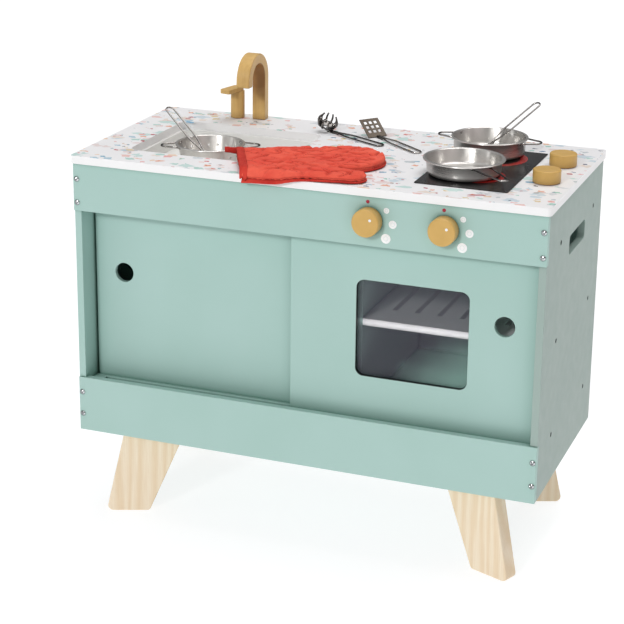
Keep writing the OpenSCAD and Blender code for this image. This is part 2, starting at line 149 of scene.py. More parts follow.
def make_lights():
    soft_sun("key", (-0.15, -0.92, 0.43), 0.98, 8)
    soft_sun("top", (0.15, 0.25, 1.0), 1.64, 50)
    soft_sun("right_fill", (0.85, -0.25, 0.55), 0.05, 40, (1.0, 0.80, 0.80))
    area_light("left_strip", (-2.3, -1.2, 1.1), (0, 0, 0.45), (0.5, 1.6), 3)
    area_light("front_strip", (0.5, -3.0, 1.9), (0, 0, 0.45), (0.7, 0.9), 4)
    make_oven_fill()
    world = bpy.data.worlds.new("studio")
    world.use_nodes = True
    background = world.node_tree.nodes["Background"]
    background.inputs["Strength"].default_value = 0.46
    studio_walls(world.node_tree, background)
    SCENE.world = world
    SCENE.view_settings.view_transform = "Standard"


def make_oven_fill():
    """A thin hidden strip between the door and the shelf that lights the shelf's front edge."""
    door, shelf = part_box("right_door"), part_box("oven_shelf")
    across = (shelf[0].x + shelf[1].x) / 2
    gap = door[1].y * 0.4 + shelf[0].y * 0.6
    level = (shelf[0].z + shelf[1].z) / 2
    place = (across, gap, level)
    fill = area_light("oven_fill", place, (across, shelf[0].y, level), (0.23, 0.003), 0.0043)
    fill.data.spread = math.radians(90)
    fill.visible_camera = False
    fill.visible_glossy = False


# ---- materials ----


def linear(red, green, blue):
    """An 8-bit colour as linear RGBA."""

    def channel(v):
        v /= 255
        return v / 12.92 if v <= 0.04045 else ((v + 0.055) / 1.055) ** 2.4

    return (channel(red), channel(green), channel(blue), 1.0)


# Most values of a noise texture lie in this range.
NOISE_RANGE = (0.3, 0.7)


class Nodes:
    """A node tree with short calls for its nodes."""

    def __init__(self, tree):
        self.tree = tree

    def node(self, kind, **settings):
        made = self.tree.nodes.new(kind)
        for key, value in settings.items():
            setattr(made, key, value)
        return made

    def put(self, socket, value):
        if isinstance(value, bpy.types.NodeSocket):
            self.tree.links.new(value, socket)
        else:
            socket.default_value = value

    def fed(self, kind, values, **settings):
        """A node with its first inputs linked or set."""
        made = self.node(kind, **settings)
        for socket, value in zip(made.inputs, values):
            self.put(socket, value)
        return made

    def math(self, operation, *values):
        return self.fed("ShaderNodeMath", values, operation=operation).outputs[0]

    def vector(self, operation, *values, output=0):
        return self.fed("ShaderNodeVectorMath", values, operation=operation).outputs[output]

    def length(self, value):
        return self.vector("LENGTH", value, output="Value")

    def scale(self, value, factor):
        scaled_value = self.vector("SCALE", value)
        self.put(scaled_value.node.inputs["Scale"], factor)
        return scaled_value

    def parts(self, value):
        """The x, y and z of a vector."""
        return self.fed("ShaderNodeSeparateXYZ", (value,)).outputs

    def joined(self, *values):
        return self.fed("ShaderNodeCombineXYZ", values).outputs[0]

    def ramp(self, value, stops, interpolation="LINEAR"):
        made = self.fed("ShaderNodeValToRGB", (value,))
        made.color_ramp.interpolation = interpolation
        elements = made.color_ramp.elements
        while len(elements) < len(stops):
            elements.new(0.5)
        for element, (position, colour) in zip(elements, stops):
            element.position = position
            element.color = colour
        return made.outputs[0]

    def span(self, value, low, high, to_low=0.0, to_high=1.0):
        return self.fed("ShaderNodeMapRange", (value, low, high, to_low, to_high)).outputs[0]

    def mix(self, factor, a, b):
        made = self.node("ShaderNodeMix", data_type="RGBA", blend_type="MIX")
        self.put(made.inputs[0], factor)
        self.put(made.inputs[6], a)
        self.put(made.inputs[7], b)
        return made.outputs[2]


class Shader(Nodes):
    """A Principled material with short calls for its nodes."""

    def __init__(self, name, **sockets):
        self.material = bpy.data.materials.new(name)
        self.material.use_nodes = True
        super().__init__(self.material.node_tree)
        self.bsdf = self.tree.nodes["Principled BSDF"]
        for key, value in sockets.items():
            self.bsdf.inputs[key.replace("_", " ")].default_value = value
        self.place = self.node("ShaderNodeTexCoord").outputs["Object"]

    def mapped(self, scale, rotation=(0, 0, 0), location=(0, 0, 0), source=None):
        made = self.node("ShaderNodeMapping")
        self.put(made.inputs["Vector"], source or self.place)
        made.inputs["Scale"].default_value = scale
        made.inputs["Rotation"].default_value = rotation
        made.inputs["Location"].default_value = location
        return made.outputs[0]

    def noise(self, scale, detail=3, roughness=0.5, source=None, output="Fac"):
        made = self.node("ShaderNodeTexNoise")
        self.put(made.inputs["Vector"], source or self.place)
        made.inputs["Scale"].default_value = scale
        made.inputs["Detail"].default_value = detail
        made.inputs["Roughness"].default_value = roughness
        return made.outputs[output]

    def wave(self, source, direction, scale, distortion):
        made = self.node("ShaderNodeTexWave", wave_type="BANDS", bands_direction=direction)
        self.put(made.inputs["Vector"], source)
        made.inputs["Scale"].default_value = scale
        made.inputs["Distortion"].default_value = distortion
        return made.outputs["Fac"]

    def colour(self, value):
        self.put(self.bsdf.inputs["Base Color"], value)

    def roughness(self, value, low, high):
        """Roughness that follows a noise from low to high."""
        self.put(self.bsdf.inputs["Roughness"], self.span(value, *NOISE_RANGE, low, high))

    def bump(self, *layers):
        """Adds bump from (height, distance in metres) pairs."""
        normal = None
        for height, distance in layers:
            made = self.node("ShaderNodeBump")
            made.inputs["Distance"].default_value = distance
            self.put(made.inputs["Height"], height)
            if normal is not None:
                self.put(made.inputs["Normal"], normal)
            normal = made.outputs[0]
        self.put(self.bsdf.inputs["Normal"], normal)


def worn_edges(s, base, light, radius):
    """Mixes a lighter colour in patches along the edges."""
    bevel = s.node("ShaderNodeBevel", samples=4)
    bevel.inputs["Radius"].default_value = radius
    normal = s.node("ShaderNodeNewGeometry").outputs["Normal"]
    flat = s.vector("DOT_PRODUCT", bevel.outputs[0], normal, output="Value")
    patchy = s.noise(90, 3)
    edge = s.math("MULTIPLY", s.span(flat, 0.995, 0.85), s.span(patchy, 0.45, 0.75))
    return s.mix(s.math("MULTIPLY", edge, 0.5), base, light)


def painted_corner_shade(s, base, deep, reach, limits, weight):
    """Painted shade: mixes a deep colour into corners narrower than the reach in metres, found by
    ambient occlusion.
    """
    occlusion = s.node("ShaderNodeAmbientOcclusion", samples=4)
    occlusion.inputs["Distance"].default_value = reach
    return s.mix(s.span(occlusion.outputs["AO"], *limits, weight, 0), base, deep)


# The door's window opening, in metres: width and height, and radius of its corners
WINDOW_SIZE = (0.140, 0.122)
WINDOW_CORNER = 0.010


def window_reveal(s):
    """1 on the cut faces of the door's window opening, which are coloured near black."""
    low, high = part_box("oven_window")
    offset = s.vector("SUBTRACT", s.place, tuple((low + high) / 2))
    size = s.vector("MULTIPLY", s.vector("ABSOLUTE", offset), (1, 0, 1))
    straight = (WINDOW_SIZE[0] / 2 - WINDOW_CORNER, 0, WINDOW_SIZE[1] / 2 - WINDOW_CORNER)
    past = s.vector("MAXIMUM", s.vector("SUBTRACT", size, straight), (0, 0, 0))
    return s.math("LESS_THAN", s.length(past), WINDOW_CORNER + 0.3 * MM)


def painted_board(name, tone, light, dark, deep, window=False):
    """Rolled satin paint: faint texture, soft patches, thin on edges, and painted shade in its corners.
    """
    s = Shader(name, Specular_IOR_Level=0.35)
    soft = s.mix(s.span(s.noise(7, 3), 0.35, 0.65), dark, tone)
    worn = worn_edges(s, soft, light, 0.0012)
    # painted shade: the deep colour darkens wide and tight corners, such as under the fascia and round
    # the knobs
    shaded = painted_corner_shade(s, worn, deep, 0.020, (0.5, 0.9), 0.26)
    colour = painted_corner_shade(s, shaded, deep, 0.006, (0.45, 0.85), 0.8)
    if window:
        # the opening's cut faces coloured near black
        colour = s.mix(s.math("MULTIPLY", window_reveal(s), 0.94), colour, linear(16, 20, 22))
    s.colour(colour)
    s.roughness(s.noise(60, 3), 0.42, 0.54)
    s.bump((s.noise(900, 2), 0.00006), (s.noise(160, 2), 0.00005))
    return s.material


CHIP_LAYERS = (
    # chips per metre, turn, stretch, size of a chip in its cell, share of cells, palette
    (26, 0.5, 0.60, 0.34, 0.34, "pale"),
    (36, 2.1, 0.70, 0.32, 0.34, "pale"),
    (46, 1.2, 0.62, 0.30, 0.26, "soft"),
    (60, 2.8, 0.75, 0.28, 0.14, "mid"),
    (38, 0.1, 0.36, 0.20, 0.10, "mid"),
    (54, 1.7, 0.48, 0.22, 0.08, "deep"),
    (110, 0.9, 0.80, 0.22, 0.08, "speck"),
)
CHIP_PALETTES = {
    "pale": ((236, 222, 220), (210, 224, 232), (204, 228, 224), (238, 226, 216), (218, 222, 226)),
    "soft": ((238, 200, 194), (178, 206, 220), (184, 218, 210), (240, 212, 188), (198, 206, 210)),
    "mid": ((234, 168, 138), (136, 184, 206), (146, 204, 188), (238, 178, 176), (226, 206, 160)),
    "deep": ((184, 36, 62), (84, 124, 164), (110, 160, 156), (222, 110, 92), (62, 76, 106)),
    "speck": ((150, 154, 160), (204, 112, 112), (132, 166, 180), (212, 176, 146), (110, 112, 122)),
}


def chips(s, ground, layer, number):
    """Lays one layer of printed chips over the ground colour."""
    density, turn, stretch, reach, share, palette = layer
    warp = s.scale(s.noise(density * 3.2, 1, output="Color"), 0.42 / density)
    warped = s.vector("ADD", s.place, warp)
    cell_size = (density, density / stretch, 1)
    source = s.mapped(cell_size, (0, 0, turn), (number * 3.7, number * 1.9, 0), warped)
    cells = s.node("ShaderNodeTexVoronoi", voronoi_dimensions="2D", distance="CHEBYCHEV")
    s.put(cells.inputs["Vector"], source)
    cells.inputs["Scale"].default_value = 1
    draws = s.fed("ShaderNodeSeparateColor", (cells.outputs["Color"],)).outputs
    size = s.span(draws[1], 0, 1, reach * 0.35, reach)
    inside = s.math("LESS_THAN", cells.outputs["Distance"], size)
    present = s.math("LESS_THAN", draws[0], share)
    colours = CHIP_PALETTES[palette]
    stops = [(i / len(colours), linear(*c)) for i, c in enumerate(colours)]
    tint = s.ramp(draws[2], stops, "CONSTANT")
    return s.mix(s.math("MULTIPLY", inside, present), ground, tint)


def terrazzo():
    """White laminate printed with coloured chips on its top, plain on its edges."""
    s = Shader("terrazzo", Specular_IOR_Level=0.45)
    colour = linear(248, 248, 249)
    for number, layer in enumerate(CHIP_LAYERS):
        colour = chips(s, colour, layer, number)
    on_top = s.math("GREATER_THAN", s.parts(s.place)[2], TOP_Z - 0.2 * MM)
    s.colour(s.mix(on_top, linear(246, 246, 246), colour))
    s.roughness(s.noise(30, 3), 0.30, 0.40)
    s.bump((s.noise(1200, 2), 0.00002))
    return s.material


def basin_plastic():
    s = Shader("basin_plastic", Specular_IOR_Level=0.45, Coat_Weight=0.15)
    s.colour(s.mix(s.noise(9, 3), linear(231, 231, 227), linear(239, 239, 237)))
    s.roughness(s.noise(50, 3), 0.28, 0.40)
    s.bump((s.noise(700, 2), 0.00003))
    return s.material


# x from the plate's middle, share of its depth, inner radius and outer radius of each ring
HOB_RINGS = ((0.004, 0.305, 0.0265, 0.0335), (0.0, 0.763, 0.0325, 0.0415))
# Distance between a ring's fine lines, in metres, and the share of it that is printed
RING_PITCH = 0.0016
RING_LINE = 0.6


def hob_black():
    """Gloss black plate with two printed rings of fine red lines and a little dust."""
    s = Shader("hob_black", Specular_IOR_Level=0.28, Coat_Weight=0.12, Coat_Roughness=0.1)
    low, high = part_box("hob_plate")
    marks = 0.0
    for beside, share, inner, outer in HOB_RINGS:
        centre = ((low.x + high.x) / 2 + beside, low.y + (high.y - low.y) * share, high.z)
        away = s.length(s.vector("SUBTRACT", s.place, centre))
        past_inner = s.math("GREATER_THAN", away, inner)
        band = s.math("MULTIPLY", past_inner, s.math("LESS_THAN", away, outer))
        phase = s.math("FRACT", s.math("DIVIDE", away, RING_PITCH))
        lines = s.math("LESS_THAN", phase, RING_LINE)
        marks = s.math("MAXIMUM", marks, s.math("MULTIPLY", band, lines))
    dust = s.span(s.noise(1500, 2), 0.68, 0.80)
    black = s.mix(s.math("MULTIPLY", dust, 0.25), linear(16, 16, 18), linear(74, 74, 78))
    s.colour(s.mix(marks, black, linear(205, 40, 34)))
    s.roughness(s.noise(40, 3), 0.16, 0.28)
    s.bump((s.noise(300, 2), 0.00002))
    return s.material


def arch_painted_shade(s):
    """1 where shade is painted on the inner face of the faucet's arch, fading out down the post."""
    low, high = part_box("faucet_spout")
    reach = (high.y - low.y) / 2
    inner = reach - SPOUT_THICK * MM
    _, y, z = s.parts(s.vector("SUBTRACT", s.place, (0, low.y + reach, high.z - reach)))
    away = s.length(s.joined(0, y, s.math("MAXIMUM", z, 0.0)))
    face = s.span(away, inner + 0.0016, inner + 0.0006)
    shade_height = s.math("ADD", z, s.span(s.noise(60, 3), 0, 1, -0.012, 0.012))
    return s.math("MULTIPLY", face, s.span(shade_height, -0.048, -0.012))


def ochre_paint(name, grain, tone, arch=False):
    """Ochre lacquer on turned wood, with painted shade in its corners and, if arch is set, inside the
    spout's arch. grain is how far the wood shows through, from 0 to 1.
    """
    s = Shader(name, Specular_IOR_Level=0.4)
    streaks = s.noise(1, 4, 0.6, s.mapped((260, 260, 14)))
    cloud = s.span(s.noise(55, 3), *NOISE_RANGE)
    base = s.mix(cloud, linear(*tone), linear(*(c + 8 for c in tone)))
    wood = s.mix(s.span(streaks, 0.42, 0.72, 0, 0.35 * grain), base, linear(172, 126, 55))
    colour = worn_edges(s, wood, linear(233, 202, 140), 0.001)
    if arch:
        # painted shade: dark brown on the inner face of the arch
        colour = s.mix(s.math("MULTIPLY", arch_painted_shade(s), 0.8), colour, linear(134, 84, 38))
    # painted shade: deep brown in corners and crevices
    s.colour(painted_corner_shade(s, colour, linear(112, 72, 34), 0.012, (0.4, 0.9), 0.6))
    s.roughness(s.noise(70, 3), 0.34, 0.46)
    s.bump((streaks, 0.00012 * grain), (s.noise(700, 2), 0.00003))
    return s.material


def pine(name, lean):
    """Pale varnished pine with its grain along a leg that leans by the given turn about y."""
    s = Shader(name, Specular_IOR_Level=0.4)
    along = s.mapped((1, 1, 0.09), (0, lean, 0))
    warp = s.scale(s.noise(9, 2, source=along, output="Color"), 0.03)
    rings = s.wave(s.vector("ADD", along, warp), "X", 26, 9)
    rings.node.inputs["Detail"].default_value = 3
    rings.node.inputs["Detail Scale"].default_value = 1.2
    fibre = s.noise(1, 3, 0.6, s.mapped((900, 900, 30), (0, lean, 0)))
    base = s.mix(rings, linear(247, 231, 206), linear(238, 216, 184))
    fine = s.mix(s.span(fibre, 0.4, 0.7, 0, 0.22), base, linear(218, 184, 142))
    blotch = s.span(s.noise(24, 3), 0.4, 0.75, 0, 0.25)
    s.colour(s.mix(blotch, fine, linear(246, 227, 198)))
    s.roughness(fibre, 0.42, 0.58)
    s.bump((fibre, 0.00010), (rings, 0.00006))
    return s.material


def spun(s, centre):
    """Fine rings about an upright axis, with highlights that stretch across them."""
    s.bsdf.inputs["Anisotropic"].default_value = 0.8
    s.bsdf.inputs["Anisotropic Rotation"].default_value = 0.25
    tangent = s.node("ShaderNodeTangent", direction_type="RADIAL", axis="Z")
    s.put(s.bsdf.inputs["Tangent"], tangent.outputs[0])
    offset = s.vector("SUBTRACT", s.place, tuple(centre))
    away = s.length(s.vector("MULTIPLY", offset, (1, 1, 0)))
    return s.noise(3000, 2, 0.6, s.joined(away, s.parts(offset)[2]))


def steel(name, roughness=0.2, centre=None, tone=(196, 193, 188), rim=0.0, metallic=1.0):
    """Stainless steel, spun about the centre if there is one. Narrow round stock, and the dishes a
    little, also have darker rims: a painted reflection that stands for the black edges of a real
    studio."""
    s = Shader(name, Metallic=metallic)
    if centre is None:
        lines = s.noise(1, 3, 0.6, s.mapped((240, 2400, 2400)))
        smear_scale, line_depth = 45, 0.00003
    else:
        lines = spun(s, centre)
        smear_scale, line_depth = 9, 0.000012
    smear = s.noise(smear_scale, 3)
    pale = tuple(min(255, c + 14) for c in tone)
    bright = s.mix(s.span(smear, *NOISE_RANGE), linear(*tone), linear(*pale))
    # painted reflection: rim darkens the colour where the surface turns away from the view
    facing = s.node("ShaderNodeLayerWeight").outputs["Facing"]
    s.colour(s.mix(s.span(facing, 0.12, 0.6, 0, rim), bright, linear(38, 38, 42)))
    wiped = s.span(smear, *NOISE_RANGE, roughness * 0.9, roughness * 1.15)
    scored = s.math("ADD", wiped, s.span(lines, *NOISE_RANGE, -0.03, 0.05))
    s.put(s.bsdf.inputs["Roughness"], scored)
    s.bump((lines, line_depth))
    return s.material


def acrylic():
    """Clear pane with a grey-violet cast, and a painted glow that turns it green towards its lower
    right corner, standing for the lit inside seen through it.
    """
    s = Shader("acrylic", Specular_IOR_Level=0.5, Alpha=0.20)
    low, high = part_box("oven_window")
    corner = s.vector("SUBTRACT", s.place, (high.x, low.y, low.z))
    away = s.length(s.vector("MULTIPLY", corner, (1, 0, 1.4)))
    glow_reach = s.math("ADD", away, s.span(s.noise(22, 3), 0, 1, -0.03, 0.03))
    violet = s.mix(s.noise(14, 2), linear(92, 88, 104), linear(108, 104, 120))
    # painted light: the pale green near the lower right corner stands for the lit inside seen through
    # the pane
    s.colour(s.mix(s.span(glow_reach, 0.035, 0.10), linear(176, 226, 212), violet))
    s.roughness(s.noise(30, 2), 0.04, 0.09)
    return s.material


# Threads lie about 2 / WEAVE metres apart.
WEAVE = 2600
WEAVE_TO_SCALE = 1 / 6.283


def cotton(name, tone, deep, weave=WEAVE):
    """Woven cotton: crossed threads, slubs, a soft sheen and painted shade in its folds."""
    s = Shader(name, Specular_IOR_Level=0.2, Sheen_Weight=0.15, Sheen_Roughness=0.4)
    s.bsdf.inputs["Sheen Tint"].default_value = linear(255, 170, 140)
    turned = s.mapped((1, 1, 1), (0, 0, math.radians(-MITT_TURN)))
    threads = [s.wave(turned, direction, weave * WEAVE_TO_SCALE, 0.6) for direction in "XY"]
    cloth = s.math("MAXIMUM", *threads)
    slub = s.noise(420, 3, 0.6)
    base = s.mix(s.span(s.noise(38, 3), 0.35, 0.7), linear(*deep), linear(*tone))
    # painted shade: a darker coral in folds and creases
    base = painted_corner_shade(s, base, linear(*(c * 0.74 for c in deep)), 0.009, (0.5, 0.92), 0.85)
    s.colour(s.mix(s.span(cloth, 0.2, 0.9, 0.22, 0), base, linear(*deep)))
    s.roughness(slub, 0.80, 0.95)
    s.bump((cloth, 0.00012), (slub, 0.00010))
    return s.material


def print_ink(name, tone):
    s = Shader(name, Specular_IOR_Level=0.35)
    s.colour(s.mix(s.noise(500, 2), linear(*tone), linear(*(c * 0.94 for c in tone))))
    s.roughness(s.noise(200, 2), 0.45, 0.55)
    return s.material


def studio_floor():
    """A back-lit white table: its own glow keeps the shadows pale."""
    s = Shader("studio_floor", Specular_IOR_Level=0.1, Emission_Strength=0.80)
    s.bsdf.inputs["Emission Color"].default_value = (0.985, 0.99, 1.0, 1)
    s.colour(s.mix(s.noise(2, 2), linear(150, 150, 150), linear(154, 154, 154)))
    s.roughness(s.noise(5, 2), 0.85, 0.95)
    s.material.cycles.emission_sampling = "NONE"
    return s.material


# ---- mesh tools ----


def mesh_object(name, vertices, faces):
    mesh = bpy.data.meshes.new(name)
    mesh.from_pydata([tuple(v) for v in vertices], [], faces)
    made = bpy.data.objects.new(name, mesh)
    SCENE.collection.objects.link(made)
    return made


def shade(mesh, smooth=True):
    for polygon in mesh.polygons:
        polygon.use_smooth = smooth


def mesh_tool(piece):
    """An editable copy of a piece's mesh."""
    tool = bmesh.new()
    tool.from_mesh(piece.data)
    return tool


def everything(tool):
    return tool.verts[:] + tool.edges[:] + tool.faces[:]


def mesh_piece(name, vertices, faces, material, body, slot=None):
    """A smooth-shaded mesh object that rides on a body."""
    piece = mesh_object(name, vertices, faces)
    tool = mesh_tool(piece)
    bmesh.ops.remove_doubles(tool, verts=tool.verts, dist=1e-6)
    bmesh.ops.recalc_face_normals(tool, faces=tool.faces)
    tool.to_mesh(piece.data)
    tool.free()
    shade(piece.data)
    piece.data.materials.append(material)
    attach(piece, body)
    return piece


def small_piece(name, shape, *rest):
    """A mesh piece from a shape drawn in millimetres."""
    return mesh_piece(name, *scaled(shape), *rest)


def steel_piece(name, shape, metal, body, node):
    """A steel piece, drawn in millimetres, that stands for a CAD node."""
    piece = small_piece(name, shape, metal, body, "stainless_steel")
    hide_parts(node)
    return piece


def loft(rings, close_ring=True, close_path=False, caps=False):
    """Vertices and quads through rings of equal length."""
    count = len(rings[0])
    vertices = [p for ring in rings for p in ring]
    faces = []
    paths = len(rings) if close_path else len(rings) - 1
    for i in range(paths):
        a, b = i * count, (i + 1) % len(rings) * count
        for k in range(count if close_ring else count - 1):
            n = (k + 1) % count
            faces.append((a + k, a + n, b + n, b + k))
    if caps:
        faces.append(tuple(range(count))[::-1])
        faces.append(tuple((len(rings) - 1) * count + k for k in range(count)))
    return vertices, faces


def lathe(profile, segments=96):
    """Turns a closed profile of (radius, height) pairs about the z axis."""
    rings = []
    for k in range(segments):
        a = 2 * math.pi * k / segments
        rings.append([Vector((r * math.cos(a), r * math.sin(a), z)) for r, z in profile])
    return loft(rings, close_ring=True, close_path=True)


def chaikin(points, rounds=3, closed=False):
    """Rounds the corners of a path."""
    points = [Vector(p) for p in points]
    for _ in range(rounds):
        pairs = list(zip(points, points[1:] + points[:1] if closed else points[1:]))
        cut = [q for a, b in pairs for q in (a.lerp(b, 0.25), a.lerp(b, 0.75))]
        points = cut if closed else [points[0], *cut[1:-1], points[-1]]
    return points


def tangents(path, closed=False):
    """Directions of a path at its points."""
    count = len(path)
    found = []
    for i in range(count):
        before = path[i - 1] if closed or i else path[0]
        after = path[(i + 1) % count] if closed or i < count - 1 else path[-1]
        found.append((after - before).normalized())
    return found


def sweep(path, radius, sides=12, closed=False):
    """A round tube along a path. radius is a number or a function of the share of the way along."""
    path = [Vector(p) for p in path]
    size = radius if callable(radius) else lambda share: radius
    headings = tangents(path, closed)
    side = headings[0].orthogonal().normalized()
    rings = []
    for i, (point, tangent) in enumerate(zip(path, headings)):
        if i:
            side = headings[i - 1].rotation_difference(tangent) @ side
        side = (side - tangent * side.dot(tangent)).normalized()
        other = tangent.cross(side)
        r = size(i / (len(path) - 1))
        turns = (2 * math.pi * k / sides for k in range(sides))
        rings.append([point + (side * math.cos(a) + other * math.sin(a)) * r for a in turns])
    return loft(rings, close_path=closed, caps=not closed)


def arc(centre, radius, start, end, steps=8):
    """Points of an arc in a plane, from one angle to another, in degrees."""
    points = []
    for i in range(steps + 1):
        a = math.radians(start + (end - start) * i / steps)
        points.append((centre[0] + radius * math.cos(a), centre[1] + radius * math.sin(a)))
    return points


def merge(*parts):
    """Joins several (vertices, faces) pairs into one."""
    vertices, faces = [], []
    for more, those in parts:
        start = len(vertices)
        vertices += list(more)
        faces += [tuple(i + start for i in face) for face in those]
    return vertices, faces


def moved(shape, matrix):
    vertices, faces = shape
    return [matrix @ Vector(v) for v in vertices], faces


def scaled(shape):
    """A shape drawn in millimetres, in metres."""
    vertices, faces = shape
    return [Vector(v) * MM for v in vertices], faces


def applied(piece):
    """Replaces a piece's mesh with what its modifiers make of it."""
    graph = bpy.context.evaluated_depsgraph_get()
    result = bpy.data.meshes.new_from_object(piece.evaluated_get(graph))
    piece.modifiers.clear()
    piece.data = result


def boolean_cut(piece, shape):
    """Cuts a closed shape out of a piece, applies the cut and evens out the shading."""
    cutter = mesh_object("cutter", *shape)
    cut = piece.modifiers.new("cut", "BOOLEAN")
    cut.operation = "DIFFERENCE"
    cut.solver = "EXACT"
    cut.object = cutter
    bpy.context.view_layer.update()
    applied(piece)
    bpy.data.objects.remove(cutter)
    shade(piece.data)
    piece.modifiers.new("normals", "WEIGHTED_NORMAL")


def upright_drills(rings, low, high, radius, sides):
    """Upright cutters about the z axis, from (ring radius, count) pairs."""
    drills = []
    for ring, count in rings:
        for k in range(count):
            a = 2 * math.pi * k / count
            x, y = ring * math.cos(a), ring * math.sin(a)
            drills.append(sweep([(x, y, low), (x, y, high)], radius, sides))
    return drills


def soften(piece, width, segments=3):
    """Joins a CAD mesh's coplanar triangles, rounds its edges and keeps its flat faces flat."""
    weld = piece.modifiers.new("weld", "WELD")
    weld.merge_threshold = 2e-6
    flats = piece.modifiers.new("flats", "DECIMATE")
    flats.decimate_type = "DISSOLVE"
    flats.angle_limit = math.radians(0.4)
    bevel = piece.modifiers.new("bevel", "BEVEL")
    bevel.width = width
    bevel.segments = segments
    bevel.limit_method = "ANGLE"
    bevel.angle_limit = math.radians(30)
    bevel.use_clamp_overlap = True
    bevel.face_strength_mode = "FSTR_AFFECTED"
    normals = piece.modifiers.new("normals", "WEIGHTED_NORMAL")
    normals.use_face_influence = True


def paint(node, material, width=None, segments=3):
    """Gives a CAD node its material, and rounds its edges by the width in metres."""
    slots = CAD[node].data.materials
    slots.clear()
    slots.append(material)
    if width:
        soften(CAD[node], width, segments)


# ---- the cabinet ----

BOARDS = (
    "side_panel_left side_panel_right back_panel floor_board ceiling_board lower_track "
    "upper_track top_fascia bottom_fascia oven_divider worktop_cleats left_door right_door"
).split()
FAUCET_NODES = ("faucet_lever", "faucet_lever_post")
KNOB_NODES = ("oven_knob_left", "oven_knob_right", "hob_knob_front", "hob_knob_rear")
SCREW_NODES = (
    "leg_screws side_screws spout_screws faucet_lever_screw oven_knob_left_screw "
    "oven_knob_right_screw hob_knob_front_screw hob_knob_rear_screw"
).split()
# Turn of each side's legs about y, in radians
LEG_LEANS = {"left": -0.36, "right": 0.36}
# Colours of the paints: tone, light, dark and deep, where deep is the colour of the painted shade in
# corners
MINT = (
    linear(173, 204, 197),
    linear(206, 224, 216),
    linear(169, 201, 193),
    linear(64, 118, 100),
)
# The right end panel's mint made greyer: painted shade for the side turned away from the light, on the
# same paint as the rest
SHADED_SIDE_MINT = (
    linear(162, 180, 173),
    linear(198, 210, 204),
    linear(158, 177, 170),
    linear(70, 104, 94),
)
SHELF_WHITE = (
    linear(250, 250, 250),
    linear(252, 252, 252),
    linear(244, 244, 244),
    linear(150, 150, 156),
)
STAIN = (212, 174, 106)
LACQUER = (206, 166, 92)


def dress_cabinet():
    """Materials and rounded edges of the CAD nodes. Returns the screws' steel."""
    mint = painted_board("mint_paint", *MINT)
    special = {
        "right_door": painted_board("mint_paint_window", *MINT, window=True),
        # the right end panel gets the greyer mint as painted shade
        "side_panel_right": painted_board("mint_paint_shaded_side", *SHADED_SIDE_MINT),
    }
    for node in BOARDS:
        paint(node, special.get(node, mint), 0.0007)
    paint("oven_shelf", painted_board("white_paint", *SHELF_WHITE), 0.0005)
    paint("worktop", terrazzo(), 0.0010)
    paint("sink_basin", basin_plastic(), 0.0012)
    paint("hob_plate", hob_black(), 0.0003, 2)
    stained = ochre_paint("ochre_wood", 0.7, STAIN)
    for node in FAUCET_NODES:
        paint(node, stained, 0.0009)
    make_spout(ochre_paint("ochre_arch", 0.7, STAIN, arch=True))
    lacquer = ochre_paint("ochre_lacquer", 0.12, LACQUER)
    for node in KNOB_NODES:
        paint(node, lacquer, 0.0011)
    for side, lean in LEG_LEANS.items():
        for node in (f"leg_front_{side}", f"leg_rear_{side}"):
            paint(node, pine("pine_" + node, lean), 0.0015)
    screw_steel = steel("screw_steel", 0.14, tone=(206, 210, 212), rim=0.95)
    for node in SCREW_NODES:
        paint(node, screw_steel)
    paint("oven_window", acrylic())
    return screw_steel


# The spout's bar, in millimetres: thickness, how far its end drops past the arch, and edge radius
SPOUT_THICK = 13.5
SPOUT_DROP = 6.0
SPOUT_ROUND = 1.5


def make_spout(material):
    """The arched spout, a rounded rectangular bar that stands for the CAD one."""
    low, high = (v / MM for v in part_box("faucet_spout"))
    half = (high.x - low.x) / 2
    reach = (high.y - low.y) / 2
    middle_r = reach - SPOUT_THICK / 2
    centre = Vector(((low.x + high.x) / 2, low.y + reach, high.z - reach))
    foot = low.z - centre.z
    post = [foot, foot + SPOUT_ROUND, *np.linspace(foot + 8, -3, 6)]
    turns = [math.radians(a) for a in range(0, 181, 5)]
    drop = (SPOUT_ROUND - SPOUT_DROP, -SPOUT_DROP)
    # y, z and the turn of the bar's outer side, from the foot up over the arch
    steps = [(middle_r, z, 0) for z in post]
    steps += [(middle_r * math.cos(a), middle_r * math.sin(a), a) for a in turns]
    steps += [(-middle_r, z, math.pi) for z in drop]
    corner = arc((half - SPOUT_ROUND, SPOUT_THICK / 2 - SPOUT_ROUND), SPOUT_ROUND, 0, 90, 4)
    outline = corner + [(-x, r) for x, r in corner[::-1]]
    outline += [(-x, -r) for x, r in corner] + [(x, -r) for x, r in corner[::-1]]
    rings = []
    for i, (y, z, a) in enumerate(steps):
        shrink = 0.45 if i in (0, len(steps) - 1) else 0.0
        ring = []
        for x, r in outline:
            x -= math.copysign(shrink, x)
            r -= math.copysign(shrink, r)
            ring.append(centre + Vector((x, y + r * math.cos(a), z + r * math.sin(a))))
        rings.append(ring)
    shape = loft(rings, caps=True)
    piece = small_piece("faucet_arch", shape, material, "cabinet", "ochre_paint")
    normals = piece.modifiers.new("normals", "WEIGHTED_NORMAL")
    normals.weight = 100
    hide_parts("faucet_spout")


# A bolt, in millimetres: radius and rise of its domed head, radius and depth of its socket, and
# radius of its shank
BOLT_HEAD = 3.5
BOLT_RISE = 1.8
BOLT_SOCKET = 1.25
BOLT_DEPTH = 1.2
BOLT_SHANK = 1.45
# Distance of the bolts from the fascias' ends, and their heights above the bottom fascia's lower
# edge and below the top fascia's upper edge
BOLT_INSET = 4.5
BOTTOM_BOLTS = (22.5, 52)
TOP_BOLTS = (50, 20)


